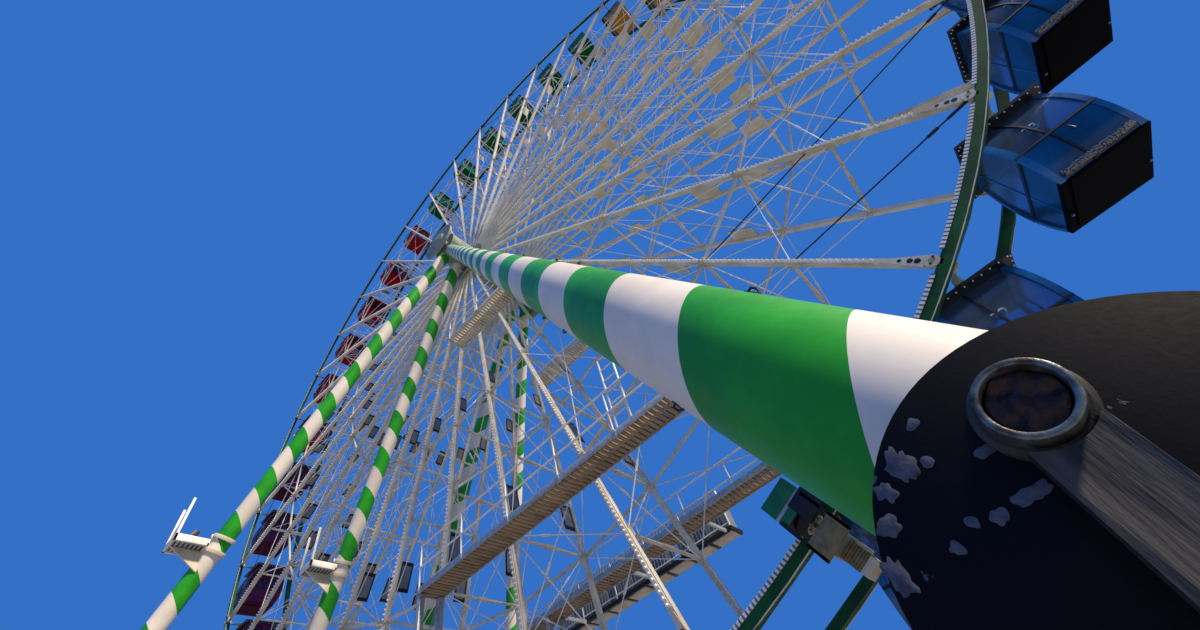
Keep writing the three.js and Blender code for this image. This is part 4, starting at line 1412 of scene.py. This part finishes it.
    def _floor(self, maker: Maker, colour: CabinColour) -> None:
        """Adds the floor tray with its sill and the shallow step under it."""
        wide_x, wide_y = self.half_x + real(0.005), self.floor_half_y + real(0.03)
        maker.box((-wide_x, -wide_y, self.floor + real(0.03)), (wide_x, wide_y, self.floor + real(0.13)),
                  colour.tray())
        maker.box((-self.half_x + real(0.12), -self.floor_half_y - real(0.04), self.floor),
                  (self.half_x - real(0.22), self.floor_half_y - real(0.1), self.floor + real(0.05)),
                  colour.tray())
        for side in (-1, 1):
            y = side * self.floor_half_y
            maker.box((-self.half_x, y - real(0.015), self.floor + real(0.1)),
                      (self.half_x, y + real(0.015), self.floor + real(0.16)), colour.enamel())

    def _roof(self, maker: Maker) -> None:
        """Adds the roof slab with a lamp row under each edge and a low ridge on top."""
        x, y = self.roof_half_x, self.roof_half_y
        maker.box((-x, -y, self.eaves), (x, y, self.roof_top), BLACK)
        lip = real(0.03)
        maker.box((-x + real(0.1), -y + real(0.1), self.roof_top - lip / 2),
                  (x - real(0.1), y - real(0.1), self.roof_top + lip / 3), BLACK)
        count = 11
        cap = real(0.017)
        for index in range(count):
            place = -1 + 2 * (index + 0.5) / count
            for side in (-1, 1):
                spots = ((place * x, side * (y - real(0.03))), (side * (x - real(0.03)), place * y))
                for spot_x, spot_y in spots:
                    top = Vector((spot_x, spot_y, self.eaves + real(0.01)))
                    maker.rod(top, top - UP * real(0.03), cap, LAMP, 6, cap * 0.6)

    def _hanger(self, maker: Maker) -> None:
        """Adds the two hanger plates and the shaft, with its collars."""
        y = self.roof_half_y - real(0.06)
        for side in (-1, 1):
            centre = Vector((0, side * y, 0))
            outline = [Vector((real(-0.12), 0, self.roof_top)), Vector((real(0.12), 0, self.roof_top))]
            for index in range(9):
                turn = math.pi * index / 8
                outline.append(Vector((real(0.06) * math.cos(turn), 0, real(0.06) * math.sin(turn))))
            half = Vector((0, real(0.03), 0))
            maker.plate([centre + point - half for point in outline], half * 2, HUB_STEEL)
            maker.collar(centre + Vector((0, side * real(0.03), 0)), Vector((0, side, 0)), real(0.06),
                         self.shaft_radius, real(0.075), HUB_STEEL, 16)
        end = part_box("gondola_01")[1].y
        maker.rod(Vector((0, -end, 0)), Vector((0, end, 0)), self.shaft_radius, HUB_STEEL, 12)

    def _seats(self, maker: Maker) -> None:
        """Adds the two facing benches and the table post inside."""
        for side in (-1, 1):
            back = side * (self.half_x - real(0.1))
            front = side * (self.half_x - real(0.45))
            low_x, high_x = min(back, front), max(back, front)
            seat_z = self.floor + real(0.5)
            half_y = real(0.6)
            maker.box((low_x, -half_y, seat_z - real(0.06)), (high_x, half_y, seat_z), BLACK)
            low_x, high_x = sorted((back, back - side * real(0.06)))
            maker.box((low_x, -half_y, seat_z), (high_x, half_y, seat_z + real(0.5)), BLACK)
        maker.rod(Vector((0, 0, self.floor + real(0.1))), Vector((0, 0, self.rail + real(0.05))),
                  real(0.03), WORN_STEEL, 10)
        maker.turned(Vector((0, 0, self.rail)), UP, [(0, real(0.2)), (real(0.03), real(0.2))], BLACK, 20)

    def _number(self, plan: WheelPlan, index: int) -> None:
        """Adds the cabin's plain number inside its front pane."""
        number = index + 1
        text = bpy.data.curves.new(f"number_{number:02d}", "FONT")
        text.body = str(number)
        text.size = real(0.26)
        text.align_x = "CENTER"
        text.extrude = real(0.002)
        text.resolution_u = 2
        holder = linked(f"cabin_{number:02d}_text", text)
        graph = bpy.context.evaluated_depsgraph_get()
        mesh = bpy.data.meshes.new_from_object(holder.evaluated_get(graph), depsgraph=graph)
        bpy.data.objects.remove(holder)
        y, z = self._curve(0.56)
        place = plan.at(index, plan.radius, -y + real(0.045)) + Vector((-real(0.07), 0, z))
        mesh.transform(Matrix.Translation(place) @ Matrix.Rotation(math.radians(90), 4, "X"))
        repaint(mesh, WHITE)
        piece = linked(f"cabin_{number:02d}_number", mesh)
        seat(piece, f"cabin_{number:02d}", GROUPS[index * len(GROUPS) // plan.count].slot)


@dataclass
class Deck:
    """A slatted deck in a galvanised frame, with a handrail along its outer side."""

    name: str
    repeater: Repeater
    plan: WheelPlan
    y_sign: int
    slat_pitch: float = real(0.13)
    slat_wide: float = real(0.085)
    kerb: float = real(0.16)
    kerb_thick: float = real(0.02)
    rail_height: float = real(1.15)
    rail_size: float = real(0.06)
    deck_thick: float = real(0.14)
    inner_y: float = real(1.78)
    outer_y: float = real(2.5)
    post_pitch: float = real(1.75)
    slats: Finish = SLAT
    frame: Finish = GALVANISED

    def build(self) -> Maker:
        """Makes the slats and starts the frame's piece, which the caller finishes."""
        low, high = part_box(self.name)
        leg = LegLine(1, self.y_sign, False)
        floor = high.z - self.rail_height - self.deck_thick
        axis = leg.axis(self.plan)
        cross = leg.top(self.plan) + axis * ((floor - self.plan.hub.z) / axis.z)
        x0, x1 = low.x, min(high.x, cross.x - leg.radius * 1.3)
        y0 = self.y_sign * (self.inner_y if self.y_sign > 0 else self.outer_y)
        y1 = y0 + self.outer_y - self.inner_y
        self._slats(x0, high.x, y0, y1, floor)
        maker = Maker(f"{self.name}_frame")
        top = floor + self.deck_thick
        for y in (y0, y1 - self.kerb_thick):
            end = high.x if (y == y0) == (self.y_sign < 0) else x1
            maker.box((x0, y, floor), (end, y + self.kerb_thick, top + real(0.02)), self.frame)
        maker.box((x0, y0, floor), (x0 + self.kerb_thick, y1, top + real(0.02)), self.frame)
        middle = (y0 + y1) / 2
        maker.box((x0, middle - real(0.03), floor + real(0.045)), (x1, middle + real(0.03), top - real(0.05)),
                  GALVANISED)
        self._rail(maker, x0, high.x, top)
        return maker

    def _slats(self, x0: float, x1: float, y0: float, y1: float, floor: float) -> None:
        """Makes the row of slats seen from below and above."""
        count = int((x1 - x0 - self.slat_wide) / self.slat_pitch)
        start = Vector((x0 + self.slat_wide, (y0 + y1) / 2, floor + self.deck_thick * 0.45))
        size = (self.slat_wide, y1 - y0 - 2.5 * self.kerb_thick, self.deck_thick * 0.5)
        step = Vector((self.slat_pitch, 0, 0))
        piece = self.repeater.row(f"{self.name}_slats", start, step, count, size, self.slats)
        seat(piece, "stand", "deck_metal")

    def _rail(self, maker: Maker, x0: float, x1: float, top: float) -> None:
        """Adds the handrail, knee rail and posts with their foot plates."""
        y = self.y_sign * (self.outer_y - self.rail_size / 2)
        radius = self.rail_size * 0.42
        for height in (self.rail_height / 2, self.rail_height):
            level = top + height - self.rail_size / 2
            maker.rod(Vector((x0, y, level)), Vector((x1, y, level)), radius, WHITE, 12)
        spans = round((x1 - x0) / self.post_pitch)
        for index in range(spans + 1):
            x = x0 + self.rail_size + (x1 - x0 - 2 * self.rail_size) * index / spans
            head = top + self.rail_height - self.rail_size / 2
            maker.rod(Vector((x, y, top - real(0.05))), Vector((x, y, head)), radius, WHITE, 12)
            maker.box((x - real(0.06), y - real(0.035), top - real(0.12)),
                      (x + real(0.06), y + real(0.035), top + real(0.03)), GALVANISED)


@dataclass
class Gangways:
    """Both service gangways, the front one's ladder, the rear one's gallery and the rest platforms."""

    plan: WheelPlan
    repeater: Repeater
    gallery_left: float = real(-2)
    gallery_right: float = real(5.5)
    gallery_inner: float = real(3.5)
    gallery_outer: float = real(4.15)
    cabinet_depth: float = real(0.4)
    cabinet_height: float = real(1.15)
    post: float = real(0.14)
    inset: float = real(0.02)

    def build(self) -> None:
        """Makes all the decks."""
        for face, sign in (("front", -1), ("rear", 1)):
            deck = Deck(f"{face}_gangway", self.repeater, self.plan, sign)
            maker = deck.build()
            if sign > 0:
                self._shift_gallery(maker, deck)
            self._posts(maker, real(-0.5), sign * deck.inner_y, sign * deck.outer_y, self._floor(deck))
            if sign < 0:
                self._ladder(maker, deck)
            seat(maker.made(bevel=real(0.003)), "stand", "deck_metal", deck.name)
            rest = Deck(f"{face}_rest_platform", self.repeater, self.plan, sign,
                        slats=PALE_PANEL, frame=CREAM)
            maker = rest.build()
            seat(maker.made(bevel=real(0.003)), "stand", "deck_metal", rest.name)

    @staticmethod
    def _floor(deck: Deck) -> float:
        """The height of a deck's underside."""
        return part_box(deck.name)[1].z - deck.rail_height - deck.deck_thick

    def _posts(self, maker: Maker, x: float, y0: float, y1: float, floor: float) -> None:
        """Adds the two square posts under a free end, with base plates and a cross brace."""
        low, high = min(y0, y1) + self.inset, max(y0, y1) - self.inset - self.post
        for y in (low, high):
            maker.box((x + self.inset, y, 0), (x + self.inset + self.post, y + self.post, floor), GALVANISED)
        centre = x + self.inset + self.post / 2
        bays = 4
        for index in range(bays):
            z0, z1 = floor * index / bays + real(0.2), floor * (index + 1) / bays
            maker.rod(Vector((centre, low + self.post / 2, z0)), Vector((centre, high + self.post / 2, z1)),
                      real(0.02), GALVANISED, 6)

    def _ladder(self, maker: Maker, deck: Deck) -> None:
        """Adds the ladder frame that stands on the front gangway's right part."""
        top = self._floor(deck) + deck.deck_thick
        y = -deck.outer_y + real(0.05)
        x0, x1 = real(6.55), real(6.95)
        height = real(2.1)
        for x in (x0, x1):
            maker.rod(Vector((x, y, top)), Vector((x, y, top + height)), real(0.028), WHITE, 10)
        rungs = 6
        for index in range(1, rungs + 1):
            z = top + height * index / rungs
            maker.rod(Vector((x0, y, z)), Vector((x1, y, z)), real(0.02), WHITE, 8)

    def _shift_gallery(self, maker: Maker, deck: Deck) -> None:
        """Adds the gallery behind the rear gangway: frame, soffit panels, balustrade and cabinets."""
        floor = self._floor(deck)
        top = floor + deck.deck_thick
        x0, x1, y0, y1 = self.gallery_left, self.gallery_right, self.gallery_inner, self.gallery_outer
        beam = real(0.07)
        maker.box((x0, y0, floor + real(0.03)), (x1, y1, top), BLACK)
        panels = 9
        for index in range(panels):
            left = x0 + (x1 - x0) * index / panels + beam
            right = x0 + (x1 - x0) * (index + 1) / panels - beam
            maker.box((left, y0 + beam, floor), (right, y1 - beam, floor + real(0.05)), PALE_PANEL)
        self._balustrade(maker, deck, top)
        for left, right in ((-1.9, 0.5), (0.8, 3.1), (3.5, 5.4)):
            self._cabinet(maker, real(left), real(right), y1, top)
        for x in (-0.4, 2.5, 5.3):
            maker.box((real(x) - real(0.03), deck.outer_y, floor + real(0.02)),
                      (real(x) + real(0.03), y0, top - real(0.02)), GALVANISED)
        self._posts(maker, x0, y0, y1, floor)

    def _balustrade(self, maker: Maker, deck: Deck, top: float) -> None:
        """Adds the gallery's near balustrade, and its row of thin bars as a piece of its own."""
        x0, x1 = self.gallery_left, self.gallery_right
        y = self.gallery_inner + real(0.03)
        for height in (real(0.1), deck.rail_height - real(0.03)):
            maker.rod(Vector((x0, y, top + height)), Vector((x1, y, top + height)), real(0.022), WHITE, 10)
        spans = 5
        for index in range(spans + 1):
            x = x0 + real(0.03) + (x1 - x0 - real(0.06)) * index / spans
            maker.rod(Vector((x, y, top)), Vector((x, y, top + deck.rail_height)), real(0.026), WHITE, 10)
        pitch = real(0.12)
        bar = real(0.018)
        count = int((x1 - x0) / pitch) - 1
        start = Vector((x0 + pitch, y, top + deck.rail_height / 2))
        size = (bar, bar, deck.rail_height - real(0.12))
        piece = self.repeater.row("gallery_balusters", start, Vector((pitch, 0, 0)), count, size, GALVANISED)
        seat(piece, "stand", "deck_metal")

    def _cabinet(self, maker: Maker, left: float, right: float, back: float, top: float) -> None:
        """Adds one control cabinet with doors, a plinth, a rain lid and handles."""
        front = back - self.cabinet_depth
        height = self.cabinet_height
        maker.box((left, front + real(0.02), top), (right, back, top + height - real(0.04)), CABINET_GREY)
        maker.box((left, front, top + height - real(0.04)), (right, back, top + height), GALVANISED)
        doors = 3
        for index in range(doors):
            x0 = left + (right - left) * index / doors + real(0.02)
            x1 = left + (right - left) * (index + 1) / doors - real(0.02)
            maker.box((x0, front, top + real(0.1)), (x1, front + real(0.03), top + height - real(0.08)),
                      CABINET_GREY)
            maker.box((x1 - real(0.07), front, top + real(0.5)),
                      (x1 - real(0.04), front + real(0.02), top + real(0.68)), BLACK)


@dataclass
class Tray:
    """A floodlight tray on a left front leg: kerbs, slats, posts, bracket plate, collar and a floodlight."""

    line: LegLine
    plan: WheelPlan
    drop: float = real(13.75)
    wide: float = real(0.8)
    reach: float = real(0.9)
    kerb_high: float = real(0.2)
    kerb_thick: float = real(0.05)
    post_high: float = real(1.35)
    post_size: float = real(0.07)
    bracket_drop: float = real(0.6)
    bracket_thick: float = real(0.06)
    collar_radius: float = real(0.335)
    collar_long: float = real(0.5)

    def build(self) -> None:
        """Makes the tray."""
        floor = self.plan.hub.z - self.drop
        axis = self.line.axis(self.plan)
        centre = self.line.top(self.plan) + axis * ((floor - self.plan.hub.z) / axis.z)
        face = centre.y - self.line.radius
        front = face - self.reach
        x0, x1 = centre.x - self.wide / 2, centre.x + self.wide / 2
        kerb = self.kerb_thick
        maker = Maker(f"{self.line.name}_tray")
        maker.box((x0, front, floor), (x0 + kerb, face, floor + self.kerb_high), WHITE)
        maker.box((x1 - kerb, front, floor), (x1, face, floor + self.kerb_high), WHITE)
        maker.box((x0, front, floor), (x1, front + kerb, floor + self.kerb_high), WHITE)
        maker.box((x0, face - kerb, floor), (x1, face, floor + real(0.08)), WHITE)
        maker.box((x0 + kerb, front + kerb, floor + real(0.012)),
                  (x1 - kerb, face - kerb, floor + real(0.04)), GALVANISED)
        slots = 7
        for index in range(slots):
            y = front + kerb + (self.reach - 2 * kerb) * (index + 0.5) / slots
            maker.box((x0 + real(0.12), y - real(0.02), floor + real(0.008)),
                      (x1 - real(0.12), y + real(0.02), floor + real(0.02)), BLACK)
        for x in (x0, x1 - self.post_size):
            maker.box((x, front, floor),
                      (x + self.post_size, front + self.post_size, floor + self.post_high), WHITE)
        outline = [
            Vector((centre.x, face + real(0.05), floor)),
            Vector((centre.x, front + self.post_size, floor)),
            Vector((centre.x, face + real(0.05), floor - self.bracket_drop)),
        ]
        half = Vector((self.bracket_thick / 2, 0, 0))
        maker.plate([point - half for point in outline], half * 2, CREAM)
        band = self.collar_long * 0.22
        for place in (0.0, self.collar_long - band):
            start = centre - axis * place
            maker.collar(start, -axis, band, self.line.radius, self.collar_radius, CREAM, 40)
            lug = start - axis * band / 2 + Vector((0, -self.line.radius - real(0.03), 0))
            maker.box(lug - Vector((real(0.05), real(0.06), band / 2)),
                      lug + Vector((real(0.05), real(0.03), band / 2)), CREAM)
        self._floodlight(maker, (x0 + x1) / 2, (front + face) / 2, floor + real(0.08))
        seat(maker.made(bevel=real(0.004)), "stand", "banded_paint")

    def _floodlight(self, maker: Maker, x: float, y: float, z: float) -> None:
        """Adds the floodlight in its yoke, tilted up at the wheel."""
        half = Vector((real(0.2), 0, 0))
        low = Vector((x, y - real(0.1), z + real(0.1)))
        high = Vector((x, y + real(0.08), z + real(0.42)))
        maker.beam(low, high, real(0.38), real(0.14), BLACK, FRONT)
        for side in (-1, 1):
            base = Vector((x, y, z)) + half * side
            maker.rod(base, base + UP * real(0.3), real(0.016), BLACK, 6)


@dataclass
class Drive:
    """The tyre drive beside the right front inner leg: housing, tyre, gearbox, motor and clasping arm."""

    plan: WheelPlan
    angle: float = math.radians(-66.3)
    tyre_radius: float = real(0.25)
    tyre_wide: float = real(0.15)
    half_wide: float = real(0.29)
    reach: float = real(0.5)
    back: float = real(0.05)
    gear_start: float = real(22.3)
    gear_end: float = real(22.62)
    gear_half: float = real(0.15)
    motor_end: float = real(23.02)
    motor_half: float = real(0.14)
    arm: tuple[float, float, float] = (real(21.75), real(22.15), real(0.79))

    def _frame(self) -> Matrix:
        """The drive's own frame: X outward from the hub, Y along the axle, Z against the rim's turn."""
        return Matrix.Translation(self.plan.hub) @ Matrix.Rotation(-self.angle, 4, "Y")

    def build(self) -> None:
        """Makes the tyre and the drive."""
        plan = self.plan
        rim_front = -plan.side_y - plan.rim_half
        tyre_y = rim_front - 0.001 - self.tyre_radius
        self._tyre(tyre_y)
        maker = Maker("drive_assembly")
        start = plan.radius - self.tyre_wide / 2 - self.back / 2
        back_y = tyre_y - self.tyre_radius - self.back
        self._housing(maker, start, back_y, rim_front - real(0.03))
        axis = Vector((1, 0, 0))
        centre = Vector((0, tyre_y, 0))
        maker.rod(centre + axis * start, centre + axis * self.gear_start, real(0.035), WORN_STEEL, 20)
        self._gearbox(maker, tyre_y, back_y)
        self._motor(maker, tyre_y)
        low, high, reach = self.arm
        maker.box((low, back_y - self.back, 0), (high, back_y + self.back, reach), BLACK)
        for place in (low + real(0.06), high - real(0.06)):
            spot = Vector((place, back_y - self.back, reach - real(0.08)))
            maker.rod(spot, spot + FRONT * real(0.03), real(0.022), WORN_STEEL, 6)
        maker.moved(self._frame())
        seat(maker.made(bevel=real(0.006)), "stand", "drive_paint", "drive_unit")

    def _housing(self, maker: Maker, start: float, back_y: float, front_y: float) -> None:
        """Adds the green housing with its pale strip, and the rails that carry the gearbox past the tyre."""
        half = self.half_wide
        low = start - self.reach
        split = start - self.reach * 0.42
        strip = real(0.06)
        maker.box((low, back_y, -half), (split, front_y, half), DRIVE_GREEN)
        maker.box((split + strip, back_y, -half), (start, front_y, half), DRIVE_GREEN)
        maker.box((split - real(0.01), back_y + real(0.01), -half * 0.98),
                  (split + strip + real(0.01), front_y - real(0.01), half * 0.98), GALVANISED)
        rail = real(0.05)
        for z in (-half, half - rail):
            maker.box((start - real(0.1), back_y - self.back, z), (self.gear_end, back_y, z + rail), BLACK)
        maker.box((start - real(0.01), back_y + real(0.02), -half + real(0.02)),
                  (start + real(0.012), front_y - real(0.02), half - real(0.02)), BLACK)

    def _gearbox(self, maker: Maker, tyre_y: float, back_y: float) -> None:
        """Adds the ribbed gear housing on its cross plate, with the brake's release lever."""
        half = self.gear_half
        body = self.gear_end - self.gear_start
        maker.box((self.gear_start - real(0.03), back_y - self.back, -self.half_wide),
                  (self.gear_end, back_y, self.half_wide), GEAR_BROWN)
        maker.box((self.gear_start, back_y, -half), (self.gear_end, tyre_y + half, half), CABINET_GREY)
        ribs = 5
        for index in range(ribs):
            x = self.gear_start + body * (index + 0.5) / ribs
            maker.box((x - real(0.012), back_y + real(0.02), -half - real(0.03)),
                      (x + real(0.012), tyre_y + half * 0.98, half + real(0.03)), GALVANISED)
        lever = Vector((self.gear_start - real(0.12), tyre_y - real(0.1), half * 0.6))
        maker.path([lever + UP * real(0.06), lever, lever + Vector((real(0.13), 0, 0))],
                   real(0.014), PALE_PANEL)

    def _motor(self, maker: Maker, tyre_y: float) -> None:
        """Adds the finned box motor with its terminal box and cream end cap."""
        half = self.motor_half
        length = self.motor_end - self.gear_end
        body = self.gear_end + length * 0.72
        maker.box((self.gear_end - real(0.01), tyre_y - half * 0.86, -half * 0.86),
                  (body, tyre_y + half * 0.86, half * 0.86), GEAR_BROWN)
        fins = 7
        for index in range(fins):
            x = self.gear_end + (body - self.gear_end) * (index + 0.5) / fins
            maker.box((x - real(0.01), tyre_y - half, -half), (x + real(0.01), tyre_y + half, half),
                      GEAR_BROWN)
        maker.box((body, tyre_y - half * 0.95, -half * 0.95),
                  (self.motor_end, tyre_y + half * 0.95, half * 0.95), CREAM)
        x = self.gear_end + real(0.05)
        maker.box((x, tyre_y - real(0.07), half * 0.9),
                  (x + real(0.18), tyre_y + real(0.07), half + real(0.05)), CREAM)

    def _tyre(self, tyre_y: float) -> None:
        """Makes the tyre with its grooved tread, white-edged rim and hub."""
        maker = Maker("drive_wheel_tyre")
        wide = self.tyre_wide
        radius = self.tyre_radius
        bore = real(0.037)
        rim = real(0.165)
        axis = Vector((1, 0, 0))
        centre = Vector((self.plan.radius - wide / 2, tyre_y, 0))
        shoulder = real(0.03)
        groove = real(0.012)
        tread = [(0.0, radius - shoulder), (shoulder, radius)]
        for index in range(3):
            place = wide * (index + 1) / 4
            tread += [(place - groove, radius), (place - groove / 2, radius - groove),
                      (place + groove / 2, radius - groove), (place + groove, radius)]
        tread += [(wide - shoulder, radius), (wide, radius - shoulder), (wide, rim), (0.0, rim)]
        rings = [circle(centre + axis * place, axis, size, 64) for place, size in tread]
        maker.loft(rings, RUBBER, loop=True)
        maker.collar(centre + axis * real(0.005), axis, wide - real(0.01), rim * 0.86, rim, WHITE, 64)
        maker.collar(centre + axis * wide * 0.35, axis, wide * 0.3, bore, rim * 0.87, HUB_STEEL, 64)
        maker.collar(centre + axis * wide * 0.1, axis, wide * 0.8, bore, real(0.075), HUB_STEEL, 32)
        for index in range(6):
            turn = index * math.pi / 3
            spot = centre + Vector((wide * 0.3, math.cos(turn) * real(0.11), math.sin(turn) * real(0.11)))
            maker.rod(spot, spot + axis * wide * 0.4, real(0.014), WORN_STEEL, 6)
        maker.moved(self._frame())
        seat(maker.made(), "tyre", "tyre_rubber", "drive_tyre")


@dataclass
class StayCables:
    """The black stay cables across the front of the wheel, with their turnbuckles."""

    plan: WheelPlan
    radius: float = real(0.017)
    clamp: tuple[float, float] = (real(0.12), real(0.034))
    starts: tuple[int, ...] = (-4, 8, 20)  # spokes at whose rim joints a pair of cables starts
    runs: tuple[tuple[int, int, float], ...] = ((0, -1, 0.87), (1, -1, 0.757))

    def build(self) -> None:
        """Makes the cables in pairs, each from a rim joint to an inner joint of another spoke."""
        plan = self.plan
        maker = Maker("front_stay_cables")
        y = -plan.side_y
        for start in self.starts:
            for ahead, behind, share in self.runs:
                rim = plan.at(start + ahead, plan.radius - plan.rim_depth, y)
                inner = plan.at(start + behind, plan.radius * share, y)
                maker.rod(rim, inner, self.radius, CABLE_BLACK, 8)
                along = (inner - rim).normalized()
                middle = rim + along * real(0.85)
                maker.rod(middle - along * self.clamp[0], middle + along * self.clamp[0], self.clamp[1],
                          CABLE_BLACK, 8)
                maker.rod(rim, rim + along * real(0.5), self.radius * 1.8, CABLE_BLACK, 8)
        seat(maker.made(), "wheel", "hub_metal")


@dataclass
class Studio:
    """The pale floor, the soft light, and the camera at the photograph's place and angle."""

    floor_half: float = 60.0
    sky: str = "#3470C5"
    sun_strength: float = 5.6
    sun_colour: str = "#FFECD0"
    sun_softness: float = math.radians(6)
    to_sun: Vector = field(default_factory=lambda: Vector((0.75, -0.05, 0.66)))
    camera_place: Vector = field(default_factory=lambda: Vector((5.365, -4.610, 0.740)))
    camera_right: Vector = field(default_factory=lambda: Vector((0.70182, 0.68028, -0.21132)))
    camera_forward: Vector = field(default_factory=lambda: Vector((-0.29819, 0.54997, 0.78014)))
    lens: float = 14.153
    sensor: float = 36.0

    def build(self) -> None:
        """Makes the stage."""
        self._camera()
        self._light()
        self._floor()

    def _camera(self) -> None:
        """Adds the camera, which looks up from beside the right front foot."""
        data = bpy.data.cameras.new("photo_camera")
        data.lens = self.lens
        data.sensor_width = self.sensor
        data.clip_start = 0.01
        data.clip_end = 500
        camera = linked("photo_camera", data)
        back = -self.camera_forward.normalized()
        right = self.camera_right.normalized()
        up = back.cross(right).normalized()
        turn = Matrix((right, up, back)).transposed().to_4x4()
        camera.matrix_world = Matrix.Translation(self.camera_place) @ turn
        bpy.context.scene.camera = camera

    def _light(self) -> None:
        """Adds an even sky and one soft sun."""
        world = bpy.data.worlds.new("studio_sky")
        world.use_nodes = True
        world.node_tree.nodes.clear()
        shine = add_node(world.node_tree, "ShaderNodeBackground", {
            "Color": linear(self.sky), "Strength": 1.0,
        })
        add_node(world.node_tree, "ShaderNodeOutputWorld", {"Surface": shine.outputs["Background"]})
        bpy.context.scene.world = world
        sun = bpy.data.lights.new("soft_sun", "SUN")
        sun.energy = self.sun_strength
        sun.angle = self.sun_softness
        sun.color = linear(self.sun_colour)[:3]
        lamp = linked("soft_sun", sun)
        lamp.rotation_euler = self.to_sun.to_track_quat("Z", "Y").to_euler()
        bpy.context.scene.view_settings.view_transform = "Standard"

    def _floor(self) -> None:
        """Adds the pale floor, which isn't part of the wheel."""
        maker = Maker("studio_floor")
        half = self.floor_half
        maker.box((-half, -half, -0.2), (half, half, 0), STAGE_FLOOR)
        maker.made()


def main() -> None:
    """Builds every sub-assembly in order."""
    logging.basicConfig(level=logging.INFO, format="%(name)s: %(message)s")
    plan = WheelPlan.from_frame()
    LOG.info("hub at %s, radius %.3f m, side at %.4f m", tuple(plan.hub), plan.radius, plan.side_y)
    repeater = Repeater()
    Studio().build()
    for line in LEGS:
        BandedLeg(line, plan).build()
    for x_sign in (-1, 1):
        Sleeper(x_sign).build()
    Rims(plan, repeater).build()
    SpokeFittings(plan, repeater).build()
    Bracing(plan, repeater).build()
    Hub(plan, repeater).build()
    Gondola().build(plan)
    Gangways(plan, repeater).build()
    for outer in (False, True):
        Tray(LegLine(-1, -1, outer), plan).build()
    Drive(plan).build()
    StayCables(plan).build()


if __name__ == "__main__":
    main()
